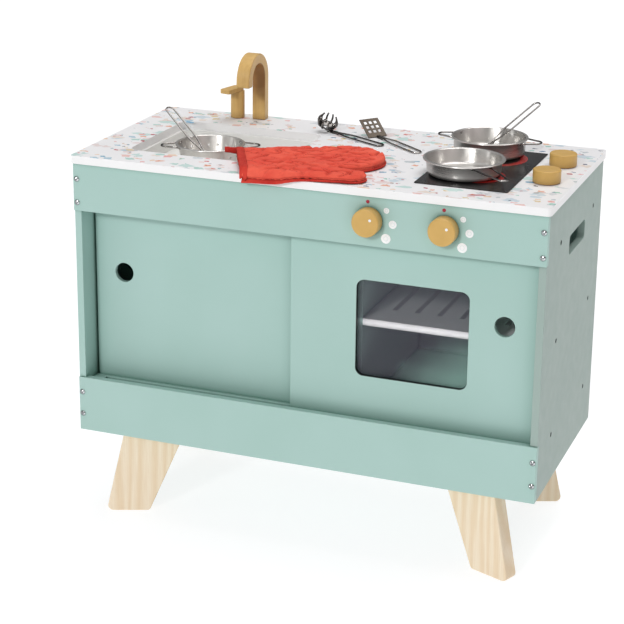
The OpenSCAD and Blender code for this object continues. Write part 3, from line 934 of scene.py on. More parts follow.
def bolt_head():
    """A domed bolt head with a hex socket, in millimetres, that looks along -y from y = 0."""
    dome = [(BOLT_HEAD * math.cos(a), BOLT_RISE * math.sin(a)) for a in np.linspace(0, 1.18, 9)]
    lip = [(BOLT_SOCKET + 0.25, BOLT_RISE), (BOLT_SOCKET, BOLT_RISE - 0.15)]
    floor_z = BOLT_RISE - BOLT_DEPTH
    profile = [(BOLT_HEAD, 0.0), *dome, *lip, (BOLT_SOCKET, floor_z), (0.0, floor_z)]
    socket_start = len(profile) - 3
    sides = 36
    rings = []
    for k in range(sides):
        a = 2 * math.pi * k / sides
        hexagon = math.cos(math.pi / 6) / math.cos((a % (math.pi / 3)) - math.pi / 6)
        ring = []
        for j, (r, z) in enumerate(profile):
            reach = r * hexagon if j >= socket_start else r
            ring.append(Vector((reach * math.cos(a), -z, reach * math.sin(a))))
        rings.append(ring)
    vertices, faces = loft(rings, close_ring=False, close_path=True)
    faces.append(tuple(range(0, len(vertices), len(profile))))
    return vertices, faces


def make_bolts(material):
    """Domed heads on the two fascias, with the shanks that run back into the panels."""
    back_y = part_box("fascia_bolts")[1].y / MM - 0.1
    top_low, top_high = (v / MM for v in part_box("top_fascia"))
    bottom_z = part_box("bottom_fascia")[0].z / MM
    heights = [bottom_z + z for z in BOTTOM_BOLTS] + [top_high.z - z for z in TOP_BOLTS]
    head = bolt_head()
    heads, shanks = [], []
    for x in (top_low.x + BOLT_INSET, top_high.x - BOLT_INSET):
        for i, z in enumerate(heights):
            turn = Matrix.Rotation(0.4 + i * 1.3 + x, 4, "Y")
            heads.append(moved(head, Matrix.Translation((x, top_low.y, z)) @ turn))
            shanks.append(sweep([(x, top_low.y + 0.1, z), (x, back_y, z)], BOLT_SHANK))
    for name, shapes in (("fascia_bolt_heads", heads), ("fascia_bolt_shanks", shanks)):
        piece = small_piece(name, merge(*shapes), material, "cabinet", "screw_steel")
        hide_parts("fascia_bolts")


FACING_FRONT = Matrix.Rotation(math.radians(90), 4, "X")


def dot(radius):
    """A printed spot of ink, in millimetres: a thin disc with a soft edge that faces -y."""
    edge = [(radius, -0.05), (radius, 0.06), (radius - 0.08, 0.12)]
    return moved(lathe([(0.0, -0.05), *edge, (0.0, 0.12)], 32), FACING_FRONT)


def ring_mark(radius):
    """A thin printed ring that faces -y, for the inside of a bubble."""
    outer = radius + 0.35
    profile = [(radius, 0.05), (outer, 0.05), (outer, 0.2), (radius, 0.2)]
    return moved(lathe(profile, 28), FACING_FRONT)


# Printed spots beside an oven knob: x and z from the knob's middle, and radius, in millimetres
BUBBLES = ((21, 14, 3.5), (29, -2, 4.9), (21, -20, 5.9))
RED_DOT = (-2, 22.5, 2.2)
POINTER = (6.3, 4.6, 1.7)


def spot(middle_place, offset, shape=dot, share=1.0):
    """A printed shape at an (x, z, radius) offset from a place, in millimetres."""
    dx, dz, radius = offset
    place = middle_place + Vector((dx, 0, dz))
    return moved(shape(radius * share), Matrix.Translation(place))


def make_print():
    """Generic printed dots beside the oven knobs, and each knob's own pointer dot."""
    white = print_ink("white_ink", (254, 254, 254))
    red = print_ink("red_ink", (178, 46, 66))
    faint = print_ink("faint_ink", (214, 232, 228))
    whites, reds, faints = [], [], []
    face_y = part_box("top_fascia")[0].y / MM
    for knob in ("oven_knob_left", "oven_knob_right"):
        low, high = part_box(knob)
        face = (low + high) / 2 / MM
        face.y = low.y / MM
        board = Vector((face.x, face_y, face.z))
        for bubble in BUBBLES:
            whites.append(spot(board, bubble))
            faints.append(spot(board, bubble, ring_mark, 0.42))
        reds.append(spot(board, RED_DOT))
        side = knob.split("_")[-1]
        small_piece(f"knob_pointer_{side}", spot(face, POINTER), white, knob)
    for name, shapes, ink in (
        ("printed_bubbles", whites, white),
        ("printed_bubble_rings", faints, faint),
        ("printed_red_dots", reds, red),
    ):
        small_piece(name, merge(*shapes), ink, "cabinet")


# The chips that stand out most: x, y, length and width in millimetres, turn in degrees
BOLD_CHIPS = {
    "crimson": (
        (510, 19, 23, 4.6, 21),
        (587, 153, 8, 5, 10),
        (447, 25, 6, 4, -20),
        (378, 233, 6, 4, 15),
    ),
    "red": ((164, 37, 7, 4, 10), (345, 262, 6, 4, -10)),
    "navy": ((594, 205, 6, 4.5, 5), (551, 12, 3.4, 2.6, 30), (300, 200, 5, 3, 12)),
    "sky": ((553, 98, 13, 6.5, 8), (60, 215, 14, 7, -15), (330, 130, 12, 6, 20)),
    "umber": ((571, 55, 7, 3, 25), (404, 30, 5, 2.4, -12)),
}
CHIP_INKS = {
    "crimson": (178, 34, 66),
    "red": (214, 74, 72),
    "navy": (58, 74, 108),
    "sky": (134, 182, 212),
    "umber": (120, 100, 92),
}


# Corners of a lopsided chip, as shares of its half length and half width
CHIP_OUTLINE = ((-1, -0.3), (-0.55, -1), (0.7, -0.85), (1, -0.1), (0.6, 1), (-0.8, 0.7))
CHIP_HEIGHTS = (-0.05, 0.04)


def bold_chip(x, y, length, width, turn):
    """A flat chip printed on the worktop."""
    outline = [(a * length / 2, b * width / 2) for a, b in CHIP_OUTLINE]
    rings = [[Vector((a, b, z)) for a, b in outline] for z in CHIP_HEIGHTS]
    place = at(x, y, 0) / MM
    place.z = TOP_Z / MM
    turned = Matrix.Rotation(math.radians(turn), 4, "Z")
    return moved(loft(rings, caps=True), Matrix.Translation(place) @ turned)


def make_bold_chips():
    for ink, chips_of_ink in BOLD_CHIPS.items():
        shape = merge(*(bold_chip(*chip) for chip in chips_of_ink))
        material = print_ink("chip_" + ink, CHIP_INKS[ink])
        piece = small_piece("worktop_chips_" + ink, shape, material, "cabinet")
        shade(piece.data, smooth=False)


# Cabinet y and z of the flush screws, in millimetres. Only the right panel has a middle row.
SCREW_DEPTHS = (69, 239)
SCREW_HEIGHTS = {"side_panel_left": (62, 303.5), "side_panel_right": (62, 182, 303.5)}
RECESS_BAR = (0.25, 4.2, 0.9)


def make_screw_recesses():
    """Cross recesses of the flush screws in the end panels, drawn as thin dark bars: painted shade for
    the hollows.
    """
    bar = scaled(blade_box(RECESS_BAR))
    shapes = []
    for panel, heights in SCREW_HEIGHTS.items():
        low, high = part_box(panel)
        outer_x = low.x if panel == "side_panel_left" else high.x
        for y in SCREW_DEPTHS:
            for i, z in enumerate(heights):
                place = at(0, y, z)
                place.x = outer_x
                for quarter in (0, math.pi / 2):
                    turn = Matrix.Rotation(0.5 + i + quarter, 4, "X")
                    shapes.append(moved(bar, Matrix.Translation(place) @ turn))
    # painted shade: near-black ink stands for the shade in the cross recesses
    dark = print_ink("recess_painted_shade", (58, 62, 60))
    mesh_piece("side_screw_recesses", *merge(*shapes), dark, "cabinet")


def blade_box(size):
    """A box of the given size about the origin, with its corners cut a little, in millimetres."""
    x, y, z = (s / 2 for s in size)
    c = min(y, z) * 0.4
    right = [(y, z - c), (y - c, z)]
    top = right + [(-a, b) for a, b in right[::-1]]
    outline = top + [(-a, -b) for a, b in top]
    rings = [[Vector((end * x, a, b)) for a, b in outline] for end in (-1, 1)]
    return loft(rings, caps=True)


# ---- cookware ----

# Thickness of a dish's wall, radius of the wires and radius of a rolled rim, in millimetres
WALL = 1.0
WIRE = 1.1
ROLL = 0.95


def dish_profile(base, top, rim, height, fillet):
    """Closed profile of a pressed dish: fillet at the base, sloping wall and a rolled rim."""
    lean = math.degrees(math.atan2(height - WALL, top - base))
    middle_r = base + (top - base) * fillet / height
    outer = [(0.0, 0.0), *arc((middle_r - fillet, fillet), fillet, -90, lean - 90)]
    outer += [(top, height - 2 * ROLL)]
    outer += arc((rim - ROLL, height - ROLL), ROLL, -100, 90)
    inner = [(top + 0.2, height), (top - WALL * 0.6, height - 1.0)]
    inner += arc((middle_r - fillet, fillet), fillet - WALL, lean - 90, -90)
    return [*outer, *inner, (0.0, WALL)]


def make_dish(node, taper, lip, fillet):
    """A dish as large as its CAD node. The wall leans in by the taper and the rim is lip wide."""
    low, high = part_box(node)
    rim = (high.x - low.x) / 2 / MM
    height = (high.z - low.z) / MM
    centre = middle(node)
    top = rim - lip
    shape = scaled(lathe(dish_profile(top - taper, top, rim, height, fillet), 128))
    metal = steel(node + "_steel", 0.30, centre, (236, 233, 228), rim=0.35, metallic=0.76)
    placed = moved(shape, Matrix.Translation(centre))
    piece = mesh_piece(node + "_dish", *placed, metal, node, "stainless_steel")
    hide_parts(node)
    return piece, centre, rim, height


HOLE = 1.55
HOLES_ROUND = 20
WALL_ROWS = (0.34, 0.60)
BASE_HOLES = ((9, 6), (18, 12), (26, 18))


def perforate(piece, centre, base, top, height):
    """Two staggered rows of holes in the wall, and rings of holes in the base."""
    cutters = []
    for row, share in enumerate(WALL_ROWS):
        r = base + (top - base) * share
        for k in range(HOLES_ROUND):
            a = 2 * math.pi * (k + row / 2) / HOLES_ROUND
            out = Vector((math.cos(a), math.sin(a), 0))
            start = out * (r - 4) + Vector((0, 0, height * share))
            cutters.append(sweep([start, start + out * 8], HOLE))
    cutters += upright_drills(BASE_HOLES, -2, 3, HOLE, 12)
    boolean_cut(piece, moved(scaled(merge(*cutters)), Matrix.Translation(centre)))


def grip(reach, root, end):
    """Path of a wire grip in the x-y plane, with its two feet at x = 0, in millimetres."""
    half = end / 2
    tip = [(x, y, 0) for x, y in arc((reach - half, 0), half, -90, 90, 6)]
    return chaikin([(0, -root / 2, 0), *tip, (0, root / 2, 0)], 2)


WELD_SPOT = ((0.0, -2.0), (1.3, -1.6), (1.9, 0.0), (1.3, 1.6), (0.0, 2.0))


def weld_pad(place):
    """Small flattened spot where a wire is welded to a wall."""
    return moved(lathe(WELD_SPOT, 16), Matrix.Translation(place))


def make_grips(name, node, dish, turns, path, drop):
    """Wire grips that stand for a CAD node, with their feet a drop below the dish's rim."""
    _, centre, rim, height = dish
    shapes = []
    for turn in turns:
        place = Matrix.Translation(centre / MM) @ Matrix.Rotation(math.radians(turn), 4, "Z")
        place = place @ Matrix.Translation((rim - 6, 0, height - drop))
        shapes.append(moved(sweep(path, WIRE, 14), place))
        for foot in (path[0], path[-1]):
            shapes.append(moved(weld_pad(foot), place))
    wire = steel(name + "_wire_steel", 0.16, tone=(176, 172, 168), rim=0.85)
    steel_piece(name, merge(*shapes), wire, name.split("_")[0], node)


def make_cookware():
    taper, lip = 6.0, 3
    colander = make_dish("colander", taper, lip, 6)
    piece, centre, rim, height = colander
    perforate(piece, centre, rim - lip - taper, rim - lip, height)
    make_grips("colander_grips", "colander_handles", colander, (23, 203), grip(24, 30, 16), 3.1)
    pot = make_dish("pot", 1.0, 3, 5)
    make_grips("pot_grips", "pot_handles", pot, (0, 180), grip(24, 32, 18), 3.1)
    pan = make_dish("pan", 1.2, 4, 6)
    make_grips("pan_grip", "pan_handle", pan, (-47,), grip(60, 24, 12), 2.6)


# ---- utensils: the handle runs along +x from its loop end to the neck ----

# A wire handle, in millimetres: its whole length, the straight shank at its neck, the loop's width
# and the distance between the two wires at the neck. LEAN is its pitch over a rim, in degrees.
HANDLE = 95.0
SHANK = 14.0
LOOP = 12.0
NECK = 2.6
LEAN = 31.0


def leaning(rim, turn, above):
    """Loop end of a handle that leans over a rim at the given cabinet point."""
    t, p = math.radians(turn), math.radians(LEAN)
    return Vector(rim) - above * Vector(
        (math.cos(p) * math.cos(t), math.cos(p) * math.sin(t), -math.sin(p))
    )


def utensil_frame(end, turn, pitch):
    place = Matrix.Translation(at(*end) / MM)
    turned = Matrix.Rotation(math.radians(turn), 4, "Z")
    return place @ turned @ Matrix.Rotation(math.radians(pitch), 4, "Y")


def handle_wire():
    """One wire bent into a long loop whose ends meet at the neck."""
    w, n = LOOP / 2, NECK / 2
    taper = HANDLE - SHANK - 20
    loop = [(x, y, 0) for x, y in arc((w, 0), w, 90, 270, 8)]
    one = [(HANDLE - 1, n, 0), (HANDLE - SHANK, n, 0), (taper, w, 0), (taper - 12, w, 0)]
    path = [*one, *loop, *[(x, -y, z) for x, y, z in reversed(one)]]
    return sweep(chaikin(path, 3), WIRE, 14)


def strap(path, widths, thickness=1.0):
    """A flat strip along a path in the x-z plane."""
    rings = []
    path = [Vector((x, 0, z)) for x, z in path]
    for point, tangent, width in zip(path, tangents(path), widths):
        up = Vector((-tangent.z, 0, tangent.x)) * thickness / 2
        side = Vector((0, width / 2, 0))
        rings.append([point - side - up, point + side - up, point + side + up, point - side + up])
    return loft(rings, caps=True)


def bowl(radius, depth, hole=0.0, thickness=0.9):
    """A shallow pressed bowl about the z axis, with its lowest point at z = 0."""
    shares = np.linspace(hole / radius, 1, 12)
    outer = [(radius * s, depth * s * s) for s in shares]
    inner = [(r, z + thickness) for r, z in reversed(outer)]
    return lathe(outer + inner, 48)


def head_frame(bend):
    """From the neck, bent up by the given angle."""
    bent = Matrix.Rotation(math.radians(-bend), 4, "Y")
    return Matrix.Translation((HANDLE, 0, -WIRE + 0.4)) @ bent


def neck_strap(bend, reach):
    """The flat part that joins the two wire ends to the head."""
    far = head_frame(bend) @ Vector((reach, 0, -0.5))
    near = HANDLE - SHANK
    z = -WIRE - 0.1
    path = [(near, z), (near + 5, z), (HANDLE - 2, z), (HANDLE + 1, z + 0.1), (far.x, far.z)]
    return strap(path, (2 * NECK, 2 * NECK, 5.6, 6.5, 11))


def bowl_frame(bend, radius):
    return head_frame(bend) @ Matrix.Translation((radius - 0.5, 0, -1.0))


def wire_piece(name, place, metal):
    steel_piece(name + "_wire", moved(handle_wire(), place), metal, name, name + "_handle")


LADLE_HOLES = ((0, 1), (4.2, 6), (8.2, 10))


def ladle(name, place, bend, radius, holes=False):
    """A round dished head on a wire handle."""
    metal = steel(name + "_steel", 0.18, tone=(176, 172, 168), rim=0.85)
    centre = bowl_frame(bend, radius)
    head = merge(moved(bowl(radius, 1.6), centre), neck_strap(bend, 3))
    piece = steel_piece(name + "_bowl", moved(head, place), metal, name, name + "_head")
    if holes:
        drills = merge(*upright_drills(LADLE_HOLES, -3, 6, 0.95, 10))
        boolean_cut(piece, scaled(moved(drills, place @ centre)))
    wire_piece(name, place, metal)


SERVER_BEND, SERVER_RADIUS = 22, 11.5
# A tine's path in the bowl's x-z plane, as (distance past the bowl's rim, height) in millimetres
TINE = ((-2.4, 2.6), (-0.4, 4.2), (1.4, 8), (0.6, 12.5), (-1.2, 15.5))
TINE_STEP = 35
TINE_KNOB = ((0.0, -1.3), (0.9, -0.9), (1.3, 0.0), (0.9, 0.9), (0.0, 1.3))


def make_server():
    """Pasta server: a holed bowl with a crown of curved tines."""
    place = utensil_frame((337, 190.5, 365.4), 152.5, -0.6)
    metal = steel("server_steel", 0.18, tone=(128, 124, 120), rim=0.9)
    centre = bowl_frame(SERVER_BEND, SERVER_RADIUS)
    shapes = [moved(bowl(SERVER_RADIUS, 3.4, 3.5), centre), neck_strap(SERVER_BEND, 3)]
    path = chaikin([(SERVER_RADIUS + past, 0, z) for past, z in TINE], 2)
    tine = sweep(path, lambda share: 1.55 - 0.45 * share, 10)
    knob = moved(lathe(TINE_KNOB, 12), Matrix.Translation(path[-1]))
    for k in range(-4, 5):
        turned = centre @ Matrix.Rotation(math.radians(k * TINE_STEP), 4, "Z")
        shapes += [moved(tine, turned), moved(knob, turned)]
    crown = moved(merge(*shapes), place)
    steel_piece("server_crown", crown, metal, "server", "server_head")
    wire_piece("server", place, metal)


def make_turner():
    """The slotted blade stays in CAD, with a smooth wire handle."""
    place = utensil_frame((391, 174.5, 365.4), 141.5, -0.6)
    paint("turner_blade", steel("turner_steel", 0.26, tone=(64, 57, 50)), 0.0002, 2)
    wire_piece("turner", place, steel("turner_wire_steel", 0.17, rim=0.8))


def make_utensils():
    skimmer = leaning((96, 136, 369.3), -27.5, 52)
    ladle("skimmer", utensil_frame(skimmer, -27.5, LEAN), 11, 12.5, holes=True)
    spoon = leaning((487, 249.5, 391.1), -128.5, 50.5)
    ladle("spoon", utensil_frame(spoon, -128.5, LEAN), LEAN, 12)
    make_server()
    make_turner()


# ---- oven mitt ----

# Cabinet x and y of the cuff's middle, turn in degrees and height over the worktop
MITT_PLACE = (205, 39.5)
MITT_TURN = 26
MITT_LIFT = 0.3


def mitt_frame():
    place = at(MITT_PLACE[0], MITT_PLACE[1], 0) / MM
    place.z = TOP_Z / MM + MITT_LIFT
    return Matrix.Translation(place) @ Matrix.Rotation(math.radians(MITT_TURN), 4, "Z")


# The mitt's own frame: x runs from the cuff to the fingertips and z is up from its underside, in mm.
# PALM and THUMB are (centre, radius) circles that its outline is drawn round, and CUFF_NEAR and
# CUFF_FAR are the ends of its cuff in y.
PALM = ((130, -3), 51)
THUMB = (((54, -48), 31), ((131, -86), 17))
CUFF_NEAR, CUFF_FAR = -50, 49
# The blank runs on past the cuff, and is made smaller by what the stuffing adds.
SPARE = 16
SWELL = 2.2
# Heights of the blank's lower and upper side
PAD_LOW, PAD_HIGH = 2.6, 9.6
# Size of the blank's cells, distance between quilting lines, and half of a line's pinned width
MITT_VOXEL = 2.9
QUILT = 31.0
SEAM_HALF = 1.8


def circle(centre, radius, count=48):
    return arc(centre, radius, 0, 360 - 360 / count, count - 1)


def slab(outline, low, high):
    """Closed convex slab over the hull of an outline."""
    tool = bmesh.new()
    for z in (low, high):
        for x, y in outline:
            tool.verts.new((x, y, z))
    bmesh.ops.convex_hull(tool, input=tool.verts)
    tool.verts.ensure_lookup_table()
    vertices = [v.co.copy() for v in tool.verts]
    faces = [tuple(v.index for v in f.verts) for f in tool.faces]
    tool.free()
    return vertices, faces


def mitt_blank():
    """The mitt before it is stuffed: two slabs that a voxel remesh joins into one skin."""
    cuff = [(-SPARE, CUFF_NEAR + SWELL), (-SPARE, CUFF_FAR - SWELL)]
    palm = slab(cuff + circle(PALM[0], PALM[1] - SWELL), PAD_LOW, PAD_HIGH)
    thumb_points = [q for c, r in THUMB for q in circle(c, r - SWELL, 32)]
    thumb_points += [(-SPARE, CUFF_NEAR + SWELL), (0, CUFF_NEAR + SWELL)]
    thumb = slab(thumb_points, PAD_LOW + 0.15, PAD_HIGH - 0.15)
    blank = mesh_object("mitt_blank", *scaled(merge(palm, thumb)))
    remesh = blank.modifiers.new("remesh", "REMESH")
    remesh.mode = "VOXEL"
    remesh.voxel_size = MITT_VOXEL * MM
    applied(blank)
    return blank


def quilting(x, y):
    """Distance to the nearest quilting line, in millimetres: two crossing families."""
    nearest = QUILT
    for direction in (1, -1):
        along = (x + direction * y) / math.sqrt(2) + 0.25 * QUILT
        nearest = min(nearest, abs((along + QUILT / 2) % QUILT - QUILT / 2))
    return nearest


STUFFING_FRAMES = 20
MOST_SWELL = 3.4


def stuff(piece):
    """Inflates the blank with Cloth. Quilting lines are pinned, so the cloth bulges between them."""
    pinned = piece.vertex_groups.new(name="stitched")
    start = [v.co.copy() for v in piece.data.vertices]
    for vertex in piece.data.vertices:
        p = vertex.co / MM
        if p.x < 2 or quilting(p.x, p.y) < SEAM_HALF:
            pinned.add([vertex.index], 1.0, "REPLACE")
    cloth = piece.modifiers.new("cloth", "CLOTH")
    settings = cloth.settings
    settings.quality = 6
    settings.mass = 0.15
    settings.tension_stiffness = 12
    settings.compression_stiffness = 12
    settings.shear_stiffness = 5
    settings.bending_stiffness = 0.3
    settings.vertex_group_mass = "stitched"
    settings.pin_stiffness = 1.0
    settings.use_pressure = True
    settings.uniform_pressure_force = 4
    settings.effector_weights.gravity = 0
    cloth.point_cache.frame_start = 1
    cloth.point_cache.frame_end = STUFFING_FRAMES
    for step in range(1, STUFFING_FRAMES + 1):
        SCENE.frame_set(step)
    applied(piece)
    SCENE.frame_set(1)
    limit = MOST_SWELL * MM
    for vertex, before in zip(piece.data.vertices, start):
        move = vertex.co - before
        if move.length > limit:
            vertex.co = before + move.normalized() * limit


def crease(x, y):
    """Height of the soft folds and sharp creases in the mitt's upper side, in millimetres."""
    folds = noise.noise(Vector((x / 34 - y / 90, y / 15 + x / 55, 3.1)))
    valleys = 1 - abs(noise.noise(Vector((x / 30 - y / 34, y / 14 + x / 44, 8.7)))) * 5.0
    small = noise.noise(Vector((x / 9, y / 5, 1.3)))
    return 2.0 * folds - 3.2 * max(0.0, valleys) + 1.1 + 0.7 * small


MITT_FLOOR = 0.15


def shape_mitt(piece):
    """Folds, sunk quilting, a seam round the edge, and a flat underside on the worktop."""
    middle_z = (PAD_LOW + PAD_HIGH) / 2
    mesh = piece.data
    normals = [v.normal.copy() for v in mesh.vertices]
    for vertex, normal in zip(mesh.vertices, normals):
        p = vertex.co / MM
        fade = min(1.0, max(0.0, (p.x - 6) / 22))
        up = max(0.0, normal.z)
        groove = math.exp(-((quilting(p.x, p.y) / 1.3) ** 2))
        p.z += up * up * fade * crease(p.x, p.y)
        p -= normal * 0.9 * groove * abs(normal.z) * fade
        side = 1 - abs(normal.z)
        seam = math.exp(-(((p.z - middle_z + 1.2) / 0.8) ** 2))
        p -= normal * 1.1 * seam * side * side
        if p.z < MITT_FLOOR + 1:
            p.z = MITT_FLOOR + 0.25 * max(0.0, p.z + 1.2) / 2.2
        vertex.co = p * MM


def cut_loop(piece, place, normal, first):
    """Corners of the loop where a plane cuts a piece, in order. It starts where first is largest."""
    tool = mesh_tool(piece)
    cut = bmesh.ops.bisect_plane(tool, geom=everything(tool), plane_co=place, plane_no=normal)
    links = {}
    for edge in cut["geom_cut"]:
        if isinstance(edge, bmesh.types.BMEdge):
            a, b = edge.verts
            links.setdefault(a, []).append(b)
            links.setdefault(b, []).append(a)
    start = max(links, key=lambda v: first(v.co))
    loop, last = [start], None
    while True:
        options = [v for v in links[loop[-1]] if v is not last]
        last = loop[-1]
        if not options or options[0] is start:
            break
        loop.append(options[0])
    corners = [v.co.copy() for v in loop]
    tool.free()
    return corners


def smoothed(points, rounds):
    """A closed loop with its corners averaged away."""
    for _ in range(rounds):
        after = points[1:] + points[:1]
        points = [(points[i - 1] + 2 * p + after[i]) / 4 for i, p in enumerate(points)]
    return points


def section(piece, x):
    """Outline of a piece where it crosses a plane of constant x, as evenly spaced (y, z) points."""
    corners = cut_loop(piece, (x, 0, 0), (1, 0, 0), lambda co: co.y)
    points = [Vector((co.y, co.z)) for co in corners]
    twice_area = sum(a.cross(b) for a, b in zip(points, points[1:] + points[:1]))
    if twice_area < 0:
        points = [points[0], *points[:0:-1]]
    return smoothed(even_loop(points, 160), 4)


def even_loop(points, count):
    """Points at even distances round a closed loop."""
    closed = points + points[:1]
    reach = [0.0]
    for a, b in zip(closed, closed[1:]):
        reach.append(reach[-1] + (b - a).length)
    spots = np.linspace(0, reach[-1], count, endpoint=False)
    axes = [np.interp(spots, reach, [q[i] for q in closed]) for i in range(len(points[0]))]
    return [Vector(q) for q in zip(*axes)]


def cut_cuff(piece):
    """Opens the pillow at the cuff."""
    tool = mesh_tool(piece)
    bmesh.ops.bisect_plane(
        tool,
        geom=everything(tool),
        plane_co=(0.6 * MM, 0, 0),
        plane_no=(1, 0, 0),
        clear_inner=True,
    )
    tool.to_mesh(piece.data)
    tool.free()


def around(points, x, offset, squeeze=1.0):
    """Ring at a given x from an outline, moved outwards by an offset, in metres."""
    count = len(points)
    middle_z = sum(p.y for p in points) / count
    ring = []
    for i, point in enumerate(points):
        step = points[(i + 1) % count] - points[i - 1]
        out = Vector((step.y, -step.x)).normalized() * offset
        ring.append(Vector((x, point.x + out.x, middle_z + (point.y + out.y - middle_z) * squeeze)))
    return ring


# Width of the cuff's binding, in millimetres
BINDING = 8.5


def binding_shape(piece):
    """The folded band round the cuff, outside and inside."""
    outer = section(piece, BINDING * MM)
    rim = section(piece, 1.0 * MM)
    # outline to follow, x and offset outwards, in millimetres
    profile = (
        (outer, BINDING, 0.1),
        (outer, BINDING - 0.2, 0.8),
        (outer, BINDING - 1.2, 1.15),
        (outer, BINDING - 2.0, 0.75),
        (outer, BINDING - 2.9, 1.2),
        (rim, 3.0, 1.3),
        (rim, 0.6, 1.2),
        (rim, -0.5, 0.7),
        (rim, -0.9, -0.4),
        (rim, -0.5, -1.5),
        (rim, 0.6, -2.1),
        (rim, 6.5, -2.4),
    )
    vertices, faces = loft([around(line, x * MM, offset * MM) for line, x, offset in profile])
    for vertex in vertices:
        q = vertex / MM
        vertex.z += noise.noise(Vector((q.x / 9, q.y / 5, q.z / 5))) * 0.22 * MM
        vertex.x += noise.noise(Vector((q.y / 11, q.z / 4, 5.5))) * 0.5 * MM
        vertex.z = max(vertex.z, 0.1 * MM)
    return vertices, faces


# Radius of the corded seam and height of its middle, in millimetres
PIPING = 1.55
PIPING_Z = 1.9


def piping_shape(piece):
    """The corded seam that runs round the mitt's edge from one end of the cuff to the other."""
    middle_z = (PAD_LOW + PAD_HIGH) / 2 * MM
    corners = cut_loop(piece, (0, 0, middle_z), (0, 0, 1), lambda co: -co.x)
    points = smoothed(even_loop([Vector((co.x, co.y)) for co in corners], 420), 6)
    path = []
    for x, y in points:
        if x > 1.5 * MM:
            height = PIPING_Z + 0.25 * noise.noise(Vector((x * 60, y * 60, 2.2)))
            path.append(Vector((x, y, height * MM)))
    return sweep(path, PIPING * MM)


# x, offset outwards and squeeze of each ring of the cuff's lining
LINING = ((1.5, -2.2, 1), (10, -2.6, 0.95), (25, -3.0, 0.8), (45, -3.4, 0.5), (62, -4, 0.1))


def lining_shape(piece):
    """The pocket inside the cuff, which narrows to a flat end."""
    rim = section(piece, 1.0 * MM)
    return loft([around(rim, x * MM, offset * MM, squeeze) for x, offset, squeeze in LINING])


# Length, gap and radius of the stitches, how deep their ends sink and how far their middle rises
STITCH = 2.6
STITCH_GAP = 1.5
THREAD = 0.24
STITCH_SINKS = (0.12, -0.16, 0.12)


def surface_tree(piece):
    tool = mesh_tool(piece)
    tree = BVHTree.FromBMesh(tool)
    tool.free()
    return tree


def stitch(tree, start, heading, inward):
    """One short thread laid on the mitt, in a list, or nothing where there is no cloth."""
    hits = []
    for part in (0, STITCH / 2, STITCH):
        q = start + heading * part
        source = Vector((q.x, q.y, -30 * inward.z)) * MM
        hits.append(tree.ray_cast(source, inward)[0])
    if None in hits:
        return []
    ends = [hit / MM + inward * sink for hit, sink in zip(hits, STITCH_SINKS)]
    return [sweep(ends, THREAD, 6)]


# Half the length of a quilting line, in millimetres
LINE_HALF = 190


def quilting_lines():
    """Start and direction of every quilting line that crosses the mitt."""
    lines = []
    for direction in (1, -1):
        normal = Vector((1, direction)) / math.sqrt(2)
        heading = Vector((-normal.y, normal.x))
        for number in range(-6, 8):
            lines.append((normal * (number - 0.25) * QUILT - heading * LINE_HALF, heading))
    return lines


def inside_mitt(q, margin):
    """Whether a point lies in the mitt's outline, with a margin."""
    if q.x < BINDING + 1:
        return False
    (cx, cy), r = PALM
    if q.x < cx:
        share = q.x / cx
        far = CUFF_FAR + (cy + r - CUFF_FAR) * share - margin
        near = CUFF_NEAR + (cy - r - CUFF_NEAR) * share + margin
        if near < q.y < far:
            return True
    elif (q - Vector((cx, cy))).length < r - margin:
        return True
    (a, ra), (b, rb) = THUMB
    a, b = Vector(a), Vector(b)
    share = min(1, max(0, (q - a).dot(b - a) / (b - a).length_squared))
    return (q - a.lerp(b, share)).length < ra + (rb - ra) * share - margin


def quilting_stitches(tree):
    shapes = []
    step = STITCH + STITCH_GAP
    for first, heading in quilting_lines():
        for i in range(int(2 * LINE_HALF / step)):
            start = first + heading * i * step
            if inside_mitt(start, 6) and inside_mitt(start + heading * STITCH, 6):
                for inward in (Vector((0, 0, -1)), Vector((0, 0, 1))):
                    shapes += stitch(tree, start, heading, inward)
    return merge(*shapes)


# How far behind the worktop's front edge the mitt is pulled, by how much, and how it then sinks
EDGE_REACH = 3.0
EDGE_PULL = 0.3
EDGE_SINK = 0.07


def droop(vertex):
    """The corner near the front of the worktop is pulled out over its edge, where it sinks a little."""
    near = WORKTOP_FRONT + EDGE_REACH * MM - vertex.y
    vertex.y -= EDGE_PULL * max(0.0, near)
    past = (WORKTOP_FRONT - vertex.y) / MM
    if past > 0:
        vertex.z -= EDGE_SINK * past * past * MM


TAPE_PATH = (
    (3, 37, 6.2),
    (-4, 37, 7.2),
    (-11, 39, 8.6),
    (-14.5, 43.5, 7.4),
    (-11, 48, 5.6),
    (-4, 48, 5.2),
    (3, 46.5, 5.6),
)
# The folded tape's cross-section: thicker hems and a thin middle
TAPE_SIZE = 0.8
TAPE = (
    (-1.2, -4.2),
    (1.2, -4.2),
    (1.9, -3.2),
    (1.3, 0),
    (1.9, 3.2),
    (1.2, 4.2),
    (-1.2, 4.2),
    (-1.5, 0),
)


def hanging_loop():
    """A folded tape sewn to the far corner of the cuff."""
    path = chaikin(TAPE_PATH)
    rings = []
    for point, tangent in zip(path, tangents(path)):
        side = tangent.cross(Vector((0, 0, 1))).normalized()
        up = side.cross(tangent)
        rings.append([point + (side * a + up * b) * TAPE_SIZE for a, b in TAPE])
    return scaled(loft(rings, caps=True))


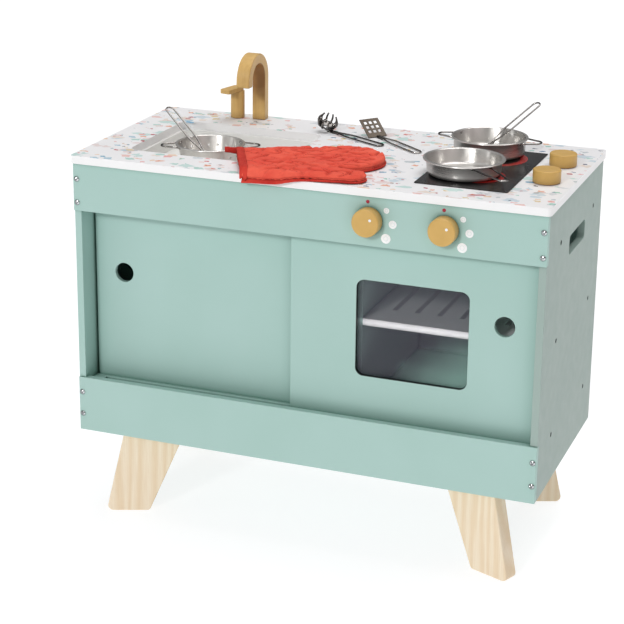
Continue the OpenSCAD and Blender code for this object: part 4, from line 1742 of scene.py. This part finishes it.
def mesh_shape(piece):
    """A piece's mesh as (vertices, faces)."""
    mesh = piece.data
    return [v.co.copy() for v in mesh.vertices], [tuple(f.vertices) for f in mesh.polygons]


def make_mitt():
    coral = cotton("coral_cotton", (247, 106, 84), (232, 84, 68))
    binding_cloth = cotton("coral_binding", (224, 72, 58), (196, 50, 42), 3400)
    lining_cloth = cotton("coral_lining", (176, 52, 46), (150, 38, 36))
    thread = cotton("coral_thread", (206, 62, 54), (186, 48, 44), 5200)
    blank = mitt_blank()
    stuff(blank)
    smooth = blank.modifiers.new("smooth", "SUBSURF")
    smooth.levels = 2
    smooth.render_levels = 2
    applied(blank)
    shape_mitt(blank)
    trimmings = [
        ("mitt_binding", binding_shape(blank), binding_cloth),
        ("mitt_lining", lining_shape(blank), lining_cloth),
        ("mitt_piping", piping_shape(blank), binding_cloth),
        ("mitt_stitches", scaled(quilting_stitches(surface_tree(blank))), thread),
        ("mitt_hanging_loop", hanging_loop(), binding_cloth),
    ]
    cut_cuff(blank)
    parts = [("quilted_mitt", mesh_shape(blank), coral), *trimmings]
    bpy.data.objects.remove(blank)
    to_row = Matrix.Scale(MM, 4) @ mitt_frame() @ Matrix.Scale(1 / MM, 4)
    for name, shape, cloth in parts:
        vertices, faces = moved(shape, to_row)
        for vertex in vertices:
            droop(vertex)
        mesh_piece(name, vertices, faces, cloth, "mitt", "coral_cotton")
    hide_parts("oven_mitt")
    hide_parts("mitt_loop")


# ---- floor ----

FLOOR_SIDES = 64


def make_floor():
    """Large flat round floor that no view reaches the end of."""
    rings = []
    for radius in (0.01, 1, 3, 9, 27):
        turns = np.linspace(0, 2 * math.pi, FLOOR_SIDES, endpoint=False)
        rings.append([Vector((radius * math.cos(a), radius * math.sin(a), 0)) for a in turns])
    vertices, faces = loft(rings)
    faces.append(tuple(range(FLOOR_SIDES))[::-1])
    floor = mesh_object("floor", vertices, faces)
    floor.data.materials.append(studio_floor())


# ---- build ----

make_camera()
make_lights()
make_bolts(dress_cabinet())
make_print()
make_bold_chips()
make_screw_recesses()
make_cookware()
make_utensils()
make_mitt()
make_floor()
